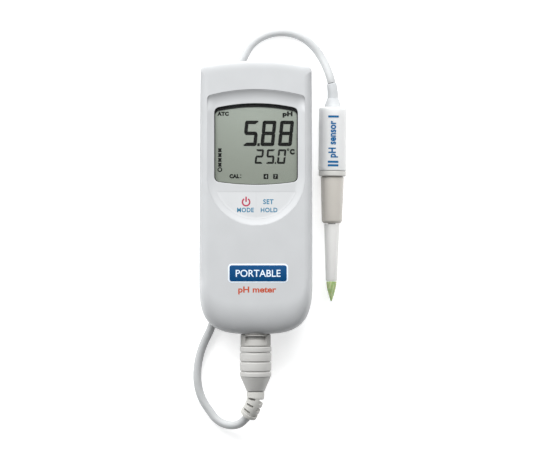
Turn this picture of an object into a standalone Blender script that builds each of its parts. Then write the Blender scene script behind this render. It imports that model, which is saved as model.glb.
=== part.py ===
"""Portable pH meter lying on its back, with its pH probe plugged in and laid beside it.

Millimetres below, metres in the scene. The table is z = 0, the display faces +Z, the top of the
meter points along +Y. The case is centred on x = 0 and y = 0.
"""
import math

import bmesh
import bpy
from mathutils import Vector

MM = 0.001
GAP = 0.3                       # clearance between neighbouring pieces

# Case
HALF_WIDTH = 32.05              # where the straight sides begin, at the lower end
LEAN_IN = 0.65                  # the sides close in by this much towards the top
CASE_END = 77.0                 # both ends of the case, measured from its middle
FACE_Z = 30.0                   # front face above the table
PARTING_Z = 15.0                # joint between the two shells
BACK_Z = 5.5                    # margins of the back, either side of the battery hump
WALL = 2.6
CROWN_RADIUS = 151.0            # gentle arc of the top edge
CROWN_CORNER = 3.0
NOSE_START = -44.0              # where the straight sides give way to the rounded lower end
NOSE_POWER = 3.4                # superellipse exponent of the lower end
FACE_EDGE_DEPTH = 8.0           # depth of the rounding between face and side walls
FACE_EDGE = dict(side=5.0, top=4.5, nose=17.0)
BACK_EDGE_DEPTH = 6.0
BACK_EDGE = dict(side=6.0, top=5.0, nose=8.0)
ROOF_Z = 27.5                   # underside of the front face
FLOOR_Z = 7.7                   # inside of the back's margins

# Battery hump of the rear cover, the face the meter rests on
HUMP_HALF_WIDTH = 18.3
HUMP_LOW, HUMP_HIGH = -56.0, 38.0
HUMP_CORNER = 7.0
HUMP_EDGE = 1.0
HUMP_WALL = 1.8

# Shield-shaped recess, display window and keys
SHIELD_HALF = 27.5
SHIELD_CROWN = 61.0
SHIELD_CROWN_RADIUS = 102.0
SHIELD_CORNER = 2.5
SHIELD_ARC_Y = 12.0             # centre of the shield's lower half circle
RECESS_Z = 26.0
LEDGE_Z = 24.8                  # underside of the recess's floor
PANEL_Z = 29.3                  # where the panel meets the keys
PANEL_TOP_Z = 29.8              # its edge under the crown
COVE_FOOT = (54.5, 28.4)        # y and z of its lowest line, above the window
COVE_MIDDLE = (57.7, 28.85)
PANE_Z, PANE_TOP_Z = 26.8, 27.6
WINDOW = dict(half=23.5, high=53.2, high_radius=100.0, low=7.3, low_radius=143.0, corner=3.0)
KEY_TOP = 3.3
KEY_RADIUS = 23.9
KEY_SPLIT = 0.2
KEY_UNDER_Z = 27.0
STEM_X, STEM_Y = 8.0, -4.0
STEM_RADIUS = 2.2

# Works
BOARD_Z = 16.0
BOARD_TOP_Z = 17.6
BOARD_HALF = 26.8
BOARD_LOW, BOARD_HIGH = -44.0, 57.5
BOARD_POST = (20.0, -40.5)
CELL_LENGTH = 44.5              # AAA
CELL_Z = 7.75
CELL_PITCH = 10.9
CELL_LOW = -32.0
COVER_SCREWS = ((24.5, 65.5), (-24.5, 65.5), (23.5, -55.0), (-23.5, -55.0))

# Probe connector, on an axis along y
PLUG_Z = 16.4
SOCKET_HOLE = 8.4
SOCKET_POCKET = 9.6             # room inside the shells for the socket's flange
POCKET_LOW, POCKET_HIGH = -72.0, -58.0
SOCKET_RADIUS, SOCKET_BORE = 8.1, 7.1
FLANGE_RADIUS = 9.2
FLANGE_LOW, FLANGE_HIGH = -70.5, -69.2
PIN_CIRCLE = 3.5
PIN_ANGLES = (0, 45, 90, 135, 180)          # 5-pin DIN layout
PIN_RADIUS = 0.7
BOOT_START = -110.0
BOOT_LENGTH = 15.0
BOOT_STRAIGHT = 2.0             # then it bends by these angles, most of it near the start
BOOT_SIDEWAYS, BOOT_DOWN = math.radians(30), math.radians(24)
BOOT_GROOVES = (3.7, 7.4, 11.1)             # where each groove starts, from the plug
BOOT_GROOVE_WIDTH = 1.3

# Cable: from the plug's boot, under the case's left margin, over the top and into the probe
CORD_RADIUS = 2.35
CORD_ROUTE = (
    (-4.5, -124.2, 12.5), (-5.4, -125.65, 11.75), (-8.5, -128.65, 9.8), (-12.6, -130.0, 7.5),
    (-17.7, -129.4, 5.3), (-22.5, -126.6, 3.8), (-26.2, -121.9, 2.9), (-29.8, -116.4, 2.5),
    (-32.0, -110.9, 2.4), (-33.1, -105.1, 2.4), (-33.2, -99.4, 2.4), (-32.5, -93.6, 2.4),
    (-31.1, -87.9, 2.4), (-28.9, -82.1, 2.4), (-26.1, -76.3, 2.4), (-23.9, -70.0, 2.4),
    (-22.6, -62.0, 2.4), (-22.2, -48.0, 2.4), (-23.0, -28.0, 2.4), (-24.1, -8.0, 2.4),
    (-24.9, 12.0, 2.4), (-25.0, 30.0, 2.4), (-23.3, 46.0, 2.4), (-19.3, 59.0, 2.4),
    (-13.9, 70.0, 2.4), (-7.6, 79.1, 2.4), (-2.8, 87.5, 2.4), (3.6, 92.7, 2.4),
    (12.0, 95.4, 2.4), (20.6, 95.1, 2.4), (28.6, 91.8, 2.4), (34.6, 86.4, 2.5),
    (37.9, 81.6, 3.1), (40.0, 77.5, 4.4), (41.5, 73.8, 5.9), (42.6, 70.5, 7.2),
    (43.3, 68.0, 7.9), (43.7, 66.15, 8.05),
)
CORD_STEP = 9.4                 # two diameters

# Probe, on an axis that leans half a degree to the right of +Y
PROBE_X, PROBE_Z = 44.0, 8.05
PROBE_LEAN = math.radians(-0.51)
RELIEF_BEND = 0.75              # how far the cable pulls the strain relief's end to the left


def material(name, colour, roughness=0.45, metallic=0.0):
    """A Principled material of one colour."""
    made = bpy.data.materials.new(name)
    made.use_nodes = True
    shader = made.node_tree.nodes["Principled BSDF"]
    shader.inputs["Base Color"].default_value = (*colour, 1.0)
    shader.inputs["Roughness"].default_value = roughness
    shader.inputs["Metallic"].default_value = metallic
    return made


def finish(name, mesh_source, look, at=(0, 0, 0), parent=None):
    """Turn a bmesh in millimetres into a named object in metres."""
    bmesh.ops.recalc_face_normals(mesh_source, faces=mesh_source.faces)
    bmesh.ops.scale(mesh_source, vec=(MM, MM, MM), verts=mesh_source.verts)
    mesh = bpy.data.meshes.new(name)
    mesh_source.to_mesh(mesh)
    mesh_source.free()
    mesh.shade_smooth()
    mesh.set_sharp_from_angle(angle=math.radians(35))
    if look:
        mesh.materials.append(look)
    made = bpy.data.objects.new(name, mesh)
    made.location = Vector(at) * MM
    made.parent = parent
    bpy.context.collection.objects.link(made)
    return made


def loft(name, rings, look, **place):
    """Skin matching rings of points in order, closed by a face at each end."""
    work = bmesh.new()
    loops = [[work.verts.new(point) for point in ring] for ring in rings]
    count = len(loops[0])
    for low, high in zip(loops, loops[1:]):
        for i in range(count):
            j = (i + 1) % count
            work.faces.new((low[i], low[j], high[j], high[i]))
    work.faces.new(loops[0])
    work.faces.new(loops[-1])
    return finish(name, work, look, **place)


def plate(name, outline, low, high, look, **place):
    """An outline in the xy plane, given thickness from z low to z high."""
    return loft(name, [[(x, y, z) for x, y in outline] for z in (low, high)], look, **place)


def turned(name, profile, look, steps=20, closed=False, **place):
    """Spin (radius, y) points about the y axis. Open profiles start and end on the axis."""
    work = bmesh.new()
    points = [work.verts.new((radius, y, 0)) for radius, y in profile]
    pairs = list(zip(points, points[1:])) + ([(points[-1], points[0])] if closed else [])
    edges = [work.edges.new(pair) for pair in pairs]
    bmesh.ops.spin(work, geom=points + edges, cent=(0, 0, 0), axis=(0, 1, 0),
                   angle=math.tau, steps=steps, use_duplicate=False)
    bmesh.ops.remove_doubles(work, verts=work.verts, dist=0.001)
    return finish(name, work, look, **place)


def tube(name, outer, inner, low, high, look, **place):
    """A plain turned ring."""
    profile = ((inner, low), (outer, low), (outer, high), (inner, high))
    return turned(name, profile, look, closed=True, **place)


def rod(name, radius, low, high, look, **place):
    """A plain turned rod along y."""
    return turned(name, ((0, low), (radius, low), (radius, high), (0, high)), look, **place)


def post(name, radius, low, high, look, x, y, steps=16):
    """An upright cylinder."""
    circle = [(x + radius * math.cos(turn), y + radius * math.sin(turn))
              for turn in (math.tau * i / steps for i in range(steps))]
    return plate(name, circle, low, high, look)


def box(name, low, high, look=None, **place):
    """A block between two corners."""
    outline = ((low[0], low[1]), (high[0], low[1]), (high[0], high[1]), (low[0], high[1]))
    return plate(name, outline, low[2], high[2], look, **place)


def apply_tool(target, tool, operation):
    """Cut a tool out of a piece, or join it on, and keep the tool as a guide."""
    step = target.modifiers.new(tool.name, "BOOLEAN")
    step.operation = operation
    step.object = tool
    step.solver = "EXACT"
    tool.hide_render = True
    tool.display_type = "WIRE"


def cut(target, *tools):
    for tool in tools:
        apply_tool(target, tool, "DIFFERENCE")


def join(target, *tools):
    for tool in tools:
        apply_tool(target, tool, "UNION")


def arch(half, crown, radius, corner, corner_steps=3, arc_steps=8):
    """Points from right to left over a shallow arc with rounded corners."""
    centre_y = crown - radius
    corner_x = half - corner
    corner_y = centre_y + math.sqrt((radius - corner) ** 2 - corner_x ** 2)
    lean = math.atan2(corner_y - centre_y, corner_x)
    right = [(corner_x + corner * math.cos(lean * i / corner_steps),
              corner_y + corner * math.sin(lean * i / corner_steps)) for i in range(corner_steps)]
    top = []
    for i in range(arc_steps + 1):
        turn = lean + (math.pi - 2 * lean) * i / arc_steps
        top.append((radius * math.cos(turn), centre_y + radius * math.sin(turn)))
    return right + top + [(-x, y) for x, y in reversed(right)]


def case_outline(side=0.0, top=0.0, nose=0.0, steps=14):
    """The case in plan, anticlockwise, each side moved in by its own amount."""
    half = HALF_WIDTH - side
    depth = CASE_END + NOSE_START - nose
    outline = arch(half - LEAN_IN, CASE_END - top, CROWN_RADIUS, CROWN_CORNER)
    for i in range(steps + 1):
        turn = math.pi * i / steps
        x = -half * math.copysign(abs(math.cos(turn)) ** (2 / NOSE_POWER), math.cos(turn))
        outline.append((x, NOSE_START - depth * math.sin(turn) ** (2 / NOSE_POWER)))
    return outline


def case_ring(z, inset, edge=None, amount=0.0):
    """One level of the case: a plain inset plus a share of an edge's rounding."""
    extra = {key: inset + amount * value for key, value in (edge or FACE_EDGE).items()}
    return [(x, y, z) for x, y in case_outline(**extra)]


def rounding(steps):
    """Shares of an edge's width and depth along a quarter ellipse, from the face outwards."""
    for i in range(steps + 1):
        turn = math.pi / 2 * i / steps
        yield 1 - math.sin(turn), 1 - math.cos(turn)


def rounded_rectangle(half, low, high, corner, steps=5):
    """A rounded rectangle in plan, anticlockwise."""
    points = []
    for cx, cy, start in ((half - corner, high - corner, 0), (corner - half, high - corner, 90),
                          (corner - half, low + corner, 180), (half - corner, low + corner, 270)):
        for i in range(steps + 1):
            turn = math.radians(start + 90 * i / steps)
            points.append((cx + corner * math.cos(turn), cy + corner * math.sin(turn)))
    return points


def bulged_rectangle(half, high, high_radius, low, low_radius, corner, grow=0.0):
    """The window's shape: upright sides, top and bottom each a shallow arc."""
    top = arch(half + grow, high + grow, high_radius, corner + grow)
    bottom = arch(half + grow, grow - low, low_radius, corner + grow)
    return top + [(-x, -y) for x, y in bottom]


def shield_outline(inset=0.0):
    """Arched at the top, a half circle at the bottom."""
    half = SHIELD_HALF - inset
    outline = arch(half, SHIELD_CROWN - inset, SHIELD_CROWN_RADIUS, SHIELD_CORNER)
    for i in range(21):
        turn = math.pi + math.pi * i / 20
        outline.append((half * math.cos(turn), SHIELD_ARC_Y + half * math.sin(turn)))
    return outline


def key_arc(radius, top, split):
    """Points down the right side of the key area, from its top edge to its lowest point."""
    first = math.asin((top - SHIELD_ARC_Y) / radius)
    last = -math.acos(split / radius)
    turns = [first + (last - first) * i / 10 for i in range(11)]
    return [(radius * math.cos(turn), SHIELD_ARC_Y + radius * math.sin(turn)) for turn in turns]


def key_outline(side):
    """Half of the key area: straight top, round below, split at the middle."""
    points = [(KEY_SPLIT, KEY_TOP)] + key_arc(KEY_RADIUS, KEY_TOP, KEY_SPLIT)
    return [(side * x, y) for x, y in points]


def key_opening():
    """The whole key area, a clearance larger than the keys."""
    right = key_arc(KEY_RADIUS + GAP, KEY_TOP + GAP, 0.0)
    return right + [(-x, y) for x, y in reversed(right[:-1])]


def front_housing(look):
    """Upper shell with the panel's tray, screw bosses and half of the socket's hole."""
    outer = [case_ring(FACE_Z - FACE_EDGE_DEPTH * down, 0.0, amount=width)
             for width, down in rounding(4)]
    rim = PARTING_Z + GAP / 2
    inner = [case_ring(z, WALL, amount=share) for z, share in ((19.0, 0.0), (24.0, 0.12))]
    rings = outer + [case_ring(rim, 0.0), case_ring(rim, WALL)] + inner
    shell = loft("front_housing", rings + [case_ring(ROOF_Z, WALL, amount=0.6)], look)
    tray = plate("panel_tray", shield_outline(-1.6), LEDGE_Z, ROOF_Z + 1.0, None)
    join(shell, tray)
    for index, (x, y) in enumerate(COVER_SCREWS):
        join(shell, post(f"front_boss_{index}", 3.4, rim, ROOF_Z + 0.5, None, x, y))
    for side in (-1, 1):
        join(shell, post(f"board_post_{side}", 2.4, BOARD_TOP_Z + GAP, ROOF_Z + 0.5, None,
                         side * BOARD_POST[0], BOARD_POST[1]))
    cut(shell, plate("recess_cutter", shield_outline(), RECESS_Z, FACE_Z + 2, None),
        plate("ledge_cutter", bulged_rectangle(**WINDOW), LEDGE_Z - 1, RECESS_Z + 1, None),
        rod("front_socket_cutter", SOCKET_HOLE, -82, -70, None, at=(0, 0, PLUG_Z)),
        rod("front_pocket", SOCKET_POCKET, POCKET_LOW, POCKET_HIGH, None, at=(0, 0, PLUG_Z)))
    for side in (-1, 1):
        cut(shell, post(f"stem_cutter_{side}", STEM_RADIUS + 0.6, LEDGE_Z - 1, RECESS_Z + 1, None,
                        side * STEM_X, STEM_Y))
        cut(shell, post(f"board_hole_{side}", 1.3, BOARD_TOP_Z - 1, 23, None,
                        side * BOARD_POST[0], BOARD_POST[1], steps=12))
    for index, (x, y) in enumerate(COVER_SCREWS):
        cut(shell, post(f"front_boss_hole_{index}", 1.7, rim - 1, 22, None, x, y, steps=12))


def rear_cover(look):
    """Lower shell: battery hump, gasket step, counterbored screw bosses."""
    rim = PARTING_Z - GAP / 2
    outer = [case_ring(BACK_Z + BACK_EDGE_DEPTH * up, 0.0, BACK_EDGE, width)
             for width, up in rounding(3)]
    step = [case_ring(rim, 0.0), case_ring(rim, 1.0), case_ring(rim - 1.2, 1.0),
            case_ring(rim - 1.2, WALL)]
    floor = [case_ring(11.0, WALL), case_ring(FLOOR_Z, WALL, BACK_EDGE, 0.5)]
    shell = loft("rear_cover", outer + step + floor, look)
    hump_rings = []
    for z, inset in ((0.0, HUMP_EDGE), (HUMP_EDGE, 0.0), (BACK_Z + 1, 0.0)):
        outline = rounded_rectangle(HUMP_HALF_WIDTH - inset, HUMP_LOW + inset, HUMP_HIGH - inset,
                                    HUMP_CORNER - inset)
        hump_rings.append([(x, y, z) for x, y in outline])
    join(shell, loft("hump", hump_rings, None))
    for index, (x, y) in enumerate(COVER_SCREWS):
        join(shell, post(f"rear_boss_{index}", 3.9, BACK_Z + 0.7, rim, None, x, y))
    inside = rounded_rectangle(HUMP_HALF_WIDTH - HUMP_WALL, HUMP_LOW + HUMP_WALL,
                               HUMP_HIGH - HUMP_WALL, HUMP_CORNER - HUMP_WALL)
    cut(shell, plate("hump_cutter", inside, HUMP_WALL + 0.2, FLOOR_Z + 2, None),
        rod("rear_socket_cutter", SOCKET_HOLE, -82, -70, None, at=(0, 0, PLUG_Z)),
        rod("rear_pocket", SOCKET_POCKET, POCKET_LOW, POCKET_HIGH, None, at=(0, 0, PLUG_Z)))
    for index, (x, y) in enumerate(COVER_SCREWS):
        cut(shell, post(f"rear_boss_hole_{index}", 1.7, 3, rim + 1, None, x, y, steps=12),
            post(f"counterbore_{index}", 3.1, 3, 8.5, None, x, y, steps=16))


def case_gasket(look):
    """Soft ring in the rear cover's step, under the front shell's rim."""
    low, high = PARTING_Z - GAP / 2 - 0.9, PARTING_Z - GAP / 2
    work = bmesh.new()
    rings = [case_ring(low, 1.3), case_ring(high, 1.3), case_ring(high, 2.3), case_ring(low, 2.3)]
    loops = [[work.verts.new(point) for point in ring] for ring in rings]
    for first, second in zip(loops, loops[1:] + loops[:1]):
        for i in range(len(first)):
            j = (i + 1) % len(first)
            work.faces.new((first[i], first[j], second[j], second[i]))
    gasket = finish("case_gasket", work, look)
    cut(gasket, rod("gasket_cutter", SOCKET_POCKET, -82, POCKET_HIGH, None, at=(0, 0, PLUG_Z)))


def cover_screws(look):
    for index, (x, y) in enumerate(COVER_SCREWS, start=1):
        screw = post(f"cover_screw_{index}", 2.7, 6.1, 8.1, look, x, y, steps=16)
        join(screw, post(f"cover_shank_{index}", 1.3, 7, 21, None, x, y, steps=12))
        cut(screw, box(f"cover_slot_{index}", (x - 1.6, y - 0.35, 5), (x + 1.6, y + 0.35, 6.9)))


def front_panel(look):
    """Pale shield set into the face: dished, window opening with a rebate below, key opening."""
    panel = plate("front_panel", shield_outline(GAP), RECESS_Z + GAP, PANEL_TOP_Z, look)
    dish = ((-20, PANEL_Z), (KEY_TOP, PANEL_Z), COVE_FOOT, COVE_MIDDLE,
            (SHIELD_CROWN + 1, PANEL_TOP_Z), (SHIELD_CROWN + 1, 33), (-20, 33))
    ends = [[(x, y, z) for y, z in dish] for x in (-HALF_WIDTH, HALF_WIDTH)]
    cut(panel, loft("dish_cutter", ends, None),
        plate("window_cutter", bulged_rectangle(**WINDOW), 20, 33, None),
        plate("rebate_cutter", bulged_rectangle(**WINDOW, grow=1.5), 20, PANE_TOP_Z + GAP, None),
        plate("key_cutter", key_opening(), 20, 33, None))


def display(pane_look, seal_look, frame_look, glass_look, strip_look):
    """Window pane and its seal, then the display glass in its frame on two rubber connectors."""
    plate("display_window", bulged_rectangle(**WINDOW, grow=1.1), PANE_Z, PANE_TOP_Z, pane_look)
    seal = plate("window_gasket", bulged_rectangle(**WINDOW, grow=1.1), RECESS_Z + 0.1,
                 PANE_Z - GAP, seal_look)
    cut(seal, plate("seal_cutter", bulged_rectangle(**WINDOW, grow=0.1), 25, 28, None))
    box("lcd_glass", (-24.7, 5.3, 22.3), (24.7, 55.1, 24.5), glass_look)
    frame = box("lcd_frame", (-26.6, 3.4, BOARD_TOP_Z + GAP), (26.6, 57.0, 24.5), frame_look)
    cut(frame, box("frame_cutter", (-25.0, 5.0, 10), (25.0, 55.4, 30)))
    for index, y in enumerate((6.0, 51.9), start=1):
        box(f"zebra_strip_{index}", (-22, y, BOARD_TOP_Z + GAP), (22, y + 2.5, 22.0), strip_look)


def board(board_look, chip_look, screw_look, ribbon_look):
    """Circuit board, its processor, its two screws and the ribbon to the probe socket."""
    outline = rounded_rectangle(BOARD_HALF, BOARD_LOW, BOARD_HIGH, 2.0, steps=3)
    main = plate("main_board", outline, BOARD_Z, BOARD_TOP_Z, board_look)
    box("processor_chip", (-5, -30, BOARD_TOP_Z + GAP), (5, -20, BOARD_TOP_Z + 1.5), chip_look)
    for index, side in enumerate((-1, 1), start=1):
        x, y = side * BOARD_POST[0], BOARD_POST[1]
        cut(main, post(f"board_cutter_{side}", 1.4, 10, 20, None, x, y, steps=12))
        screw = post(f"board_screw_{index}", 2.1, 14.3, 15.7, screw_look, x, y, steps=16)
        join(screw, post(f"board_shank_{index}", 0.95, 15, 22, None, x, y, steps=12))
    route = ((-58.6, PLUG_Z), (-56.5, PLUG_Z + 0.5), (-53, 18.0), (-48, 18.3), (-41, 18.3))
    loft("socket_ribbon", [((-4, y, z - 0.3), (4, y, z - 0.3), (4, y, z + 0.3), (-4, y, z + 0.3))
                           for y, z in route], ribbon_look)


def key(name, side, key_look, switch_look, plunger_look):
    """One key with its stem, the switch under it and the switch's plunger."""
    x = side * STEM_X
    cap = plate(f"{name}_button", key_outline(side), KEY_UNDER_Z, PANEL_Z, key_look)
    join(cap, post(f"{name}_stem", STEM_RADIUS, 24.3, KEY_UNDER_Z + 0.5, None, x, STEM_Y))
    switch = box(f"{name}_switch", (x - 3, STEM_Y - 3, BOARD_TOP_Z + GAP),
                 (x + 3, STEM_Y + 3, 21.4), switch_look)
    cut(switch, post(f"{name}_switch_cutter", 2.1, 19.8, 25, None, x, STEM_Y))
    post(f"{name}_plunger", 1.7, 20.9, 24.0, plunger_look, x, STEM_Y)


def batteries(holder_look, cell_look, metal_look):
    """Three AAA cells in an open-bottomed holder, with their springs and contact plates."""
    cell_high = CELL_LOW + CELL_LENGTH
    low, high = CELL_LOW - 5.6, cell_high + 1.6
    holder = box("battery_holder", (-17.7, low - 1.2, 8.0), (17.7, high + 1.2, 14.7), holder_look)
    cut(holder, box("holder_cutter", (-16.5, low, 5), (16.5, high, 13.4)))
    for index, column in enumerate((-1, 0, 1), start=1):
        x = column * CELL_PITCH
        head = 1 if column else -1
        middle = (CELL_LOW + cell_high) / 2
        half = CELL_LENGTH / 2
        profile = ((0, -half), (4.9, -half), (5.25, 0.4 - half), (5.25, half - 1.3),
                   (4.8, half - 0.9), (1.9, half - 0.9), (1.9, half), (0, half))
        turned(f"battery_cell_{index}", [(radius, head * y) for radius, y in profile], cell_look,
               at=(x, middle, CELL_Z))
        spring(f"battery_spring_{index}", x, CELL_LOW - 0.6, metal_look)
        box(f"battery_plate_{index}", (x - 4.2, cell_high + 0.5, 8.3),
            (x + 4.2, cell_high + 1.1, 12.6), metal_look)


def spring(name, x, front, look):
    """Conical contact spring that pushes on a cell's end."""
    turns, per_turn, length = 3, 8, 4.2
    wire = 0.3
    curve = bpy.data.curves.new(name, "CURVE")
    curve.dimensions = "3D"
    curve.bevel_depth = wire * MM
    curve.bevel_resolution = 0
    curve.use_fill_caps = True
    count = int(turns * per_turn)
    spline = curve.splines.new("POLY")
    spline.points.add(count)
    for i, point in enumerate(spline.points):
        share = i / count
        radius = 2.2 + 1.6 * share
        turn = math.tau * turns * share
        place = Vector((x + radius * math.cos(turn), front - length * share,
                        CELL_Z + radius * math.sin(turn))) * MM
        point.co = (*place, 1.0)
    curve.materials.append(look)
    bpy.context.collection.objects.link(bpy.data.objects.new(name, curve))


def pin_places():
    """Where the five contacts sit around the connector's axis."""
    for angle in PIN_ANGLES:
        turn = math.radians(angle)
        yield PIN_CIRCLE * math.cos(turn), PLUG_Z - PIN_CIRCLE * math.sin(turn)


def socket(metal_look, insert_look, nut_look, seal_look):
    """Panel socket through the lower end: sleeve, contact insert, ring nut and seal."""
    axis = (0, 0, PLUG_Z)
    sleeve = ((SOCKET_BORE, -77.2), (SOCKET_RADIUS, -77.2), (SOCKET_RADIUS, FLANGE_LOW),
              (FLANGE_RADIUS, FLANGE_LOW), (FLANGE_RADIUS, FLANGE_HIGH),
              (SOCKET_RADIUS, FLANGE_HIGH), (SOCKET_RADIUS, -62.0), (SOCKET_BORE, -62.0))
    turned("din_socket", sleeve, metal_look, closed=True, at=axis)
    tube("socket_seal", FLANGE_RADIUS, SOCKET_RADIUS + GAP, POCKET_LOW + GAP, FLANGE_LOW - GAP,
         seal_look, at=axis)
    tube("socket_nut", FLANGE_RADIUS, SOCKET_RADIUS + GAP, -67.6, -64.6, nut_look, at=axis)
    insert = turned("socket_insert", ((0, -75.2), (5.8, -75.2), (5.8, -64.5), (6.8, -64.5),
                                      (6.8, -59.0), (0, -59.0)), insert_look, at=axis)
    for index, (x, z) in enumerate(pin_places()):
        cut(insert, rod(f"contact_cutter_{index}", 1.15, -77, -65.5, None, steps=8, at=(x, 0, z)))


def plug(shell_look, metal_look, insert_look, boot_look):
    """The lead's plug: collar, metal nose, contact insert, pins, ribbed grip and bent boot."""
    axis = (0, 0, PLUG_Z)
    collar = tube("plug_collar", 8.6, 7.1, -83.9, -77.5, shell_look, at=axis)
    cut(collar, box("collar_notch", (-5.4, -80.0, PLUG_Z), (5.4, -76.0, PLUG_Z + 12)))
    tube("plug_shell", 6.8, 6.15, -87.5, -67.0, metal_look, at=axis)
    insert = rod("plug_insert", 5.8, -87.0, -78.4, insert_look, at=axis)
    for index, (x, z) in enumerate(pin_places(), start=1):
        cut(insert, rod(f"pin_cutter_{index}", 1.15, -90, -77, None, steps=8, at=(x, 0, z)))
        turned(f"plug_pin_{index}", ((0, -86.5), (PIN_RADIUS, -86.5), (PIN_RADIUS, -68.9),
                                     (0, -68.4)), metal_look, steps=8, at=(x, 0, z))
    grip = [(0, -88.0), (7.1, -88.0), (7.1, -84.2)]
    for high, low in ((-84.2, -87.3), (-87.9, -92.6), (-93.2, -98.1), (-98.7, -101.5)):
        grip += [(8.6, high), (9.0, high - 0.4), (9.0, low + 0.4), (8.6, low)]
    turned("plug_grip", grip + [(5.1, -109.7), (0, -109.7)], shell_look, at=axis)
    boot(boot_look)


def boot(look):
    """Ribbed strain relief that bends with the cable."""
    neck, rib, groove = 5.0, 4.8, 3.6
    profile = [(0, neck)]
    for start in BOOT_GROOVES:
        end = start + BOOT_GROOVE_WIDTH
        profile += [(start - 0.1, rib), (start, groove), (end, groove), (end + 0.1, rib)]
    profile.append((BOOT_LENGTH, neck))
    rings = []
    for along, radius in profile:
        centre, heading = boot_axis(along)
        across = heading.cross(Vector((0, 0, 1))).normalized()
        up = across.cross(heading)
        rings.append([centre + radius * (across * math.cos(turn) + up * math.sin(turn))
                      for turn in (math.tau * i / 16 for i in range(16))])
    loft("plug_boot", rings, look)


def boot_heading(along):
    """Direction of the boot, which leaves the plug straight and then bends."""
    rest = 1 - max(0.0, along - BOOT_STRAIGHT) / (BOOT_LENGTH - BOOT_STRAIGHT)
    bend = 1 - rest ** 2
    sideways, down = BOOT_SIDEWAYS * bend, BOOT_DOWN * bend
    level = math.cos(down)
    return Vector((-math.sin(sideways) * level, -math.cos(sideways) * level, -math.sin(down)))


def boot_axis(along):
    """Centre and heading of the boot at a distance from the plug."""
    steps = 40
    centre = Vector((0, BOOT_START, PLUG_Z))
    for i in range(steps):
        centre += boot_heading(along * (i + 0.5) / steps) * (along / steps)
    return centre, boot_heading(along)


def smooth_path(route, step):
    """Points about one step apart on a smooth curve through the route's own points."""
    points = [Vector(point) for point in route]
    padded = [2 * points[0] - points[1]] + points + [2 * points[-1] - points[-2]]
    fine = []
    for a, b, c, d in zip(padded, padded[1:], padded[2:], padded[3:]):
        for i in range(20):
            t = i / 20
            fine.append(0.5 * (2 * b + (c - a) * t + (2 * a - 5 * b + 4 * c - d) * t ** 2
                               + (3 * b - a - 3 * c + d) * t ** 3))
    fine.append(points[-1])
    lengths = [0.0]
    for a, b in zip(fine, fine[1:]):
        lengths.append(lengths[-1] + (b - a).length)
    count = round(lengths[-1] / step)
    path, index = [], 0
    for i in range(count + 1):
        goal = lengths[-1] * i / count
        while index < len(fine) - 2 and lengths[index + 1] < goal:
            index += 1
        share = (goal - lengths[index]) / (lengths[index + 1] - lengths[index])
        path.append(fine[index].lerp(fine[index + 1], share))
    return path


def cable(look):
    """The whole length of cable between the boot and the probe's strain relief."""
    curve = bpy.data.curves.new("probe_cable", "CURVE")
    curve.dimensions = "3D"
    curve.bevel_depth = CORD_RADIUS * MM
    curve.bevel_resolution = 2
    curve.use_fill_caps = True
    path = smooth_path(CORD_ROUTE, CORD_STEP)
    spline = curve.splines.new("POLY")
    spline.points.add(len(path) - 1)
    for point, place in zip(spline.points, path):
        point.co = (*(place * MM), 1.0)
    curve.materials.append(look)
    bpy.context.collection.objects.link(bpy.data.objects.new("probe_cable", curve))


def probe(body_look, sleeve_look, stem_look, tip_look, relief_look, works_look, board_look):
    """The probe and what it holds, on one leaning axis."""
    axis = bpy.data.objects.new("probe_axis", None)
    axis.location = Vector((PROBE_X, 0, PROBE_Z)) * MM
    axis.rotation_euler = (0, 0, PROBE_LEAN)
    bpy.context.collection.objects.link(axis)
    held = dict(parent=axis)
    relief = []
    for radius, y in ((4.3, 50.0), (4.3, 52.4), (3.3, 57.0), (3.1, 57.2), (3.0, 60.0), (2.9, 63.0),
                      (2.8, 65.5)):
        share = max(0.0, (y - 57.0) / 8.5)
        lean = math.atan(2 * RELIEF_BEND * share / 8.5)
        turns = [math.tau * i / 20 for i in range(20)]
        relief.append([(radius * math.cos(turn) * math.cos(lean) - RELIEF_BEND * share ** 2,
                        y + radius * math.cos(turn) * math.sin(lean), radius * math.sin(turn))
                       for turn in turns])
    loft("strain_relief", relief, relief_look, **held)
    handle = ((6.3, 13.4), (7.6, 12.6), (8.0, 13.2), (8.0, 51.6), (7.5, 52.2), (4.7, 52.2),
              (4.7, 49.6), (6.3, 48.6))
    turned("probe_handle", handle, body_look, closed=True, steps=24, **held)
    sleeve = ((2.9, -14.4), (5.0, -14.4), (5.85, -12.9), (6.6, 12.3), (6.0, 12.3), (6.0, 18.0),
              (2.9, 18.0))
    turned("probe_sleeve", sleeve, sleeve_look, closed=True, **held)
    stem = ((2.35, -47.3), (3.25, -47.3), (4.45, -14.7), (2.35, -14.7))
    turned("probe_stem", stem, stem_look, closed=True, **held)
    tip = ((0, -59.2), (0.7, -58.0), (2.2, -53.0), (2.85, -49.6), (2.95, -47.6), (1.95, -47.6),
           (1.9, -49.8), (0, -54.0))
    turned("glass_tip", tip, tip_look, **held)
    tube("electrode_tube", 1.5, 0.8, -47.0, 22.0, works_look, at=(-0.7, 0, 0), **held)
    rod("silver_wire", 0.4, -46.0, 24.0, works_look, at=(-0.7, 0, 0), **held)
    rod("temperature_sensor", 0.6, -47.0, 20.0, works_look, at=(1.55, 0, 0), **held)
    box("preamp_board", (-5.0, 26.0, -0.6), (5.0, 47.0, 0.6), board_look, **held)


def clear_scene():
    for item in list(bpy.data.objects):
        bpy.data.objects.remove(item)


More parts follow.
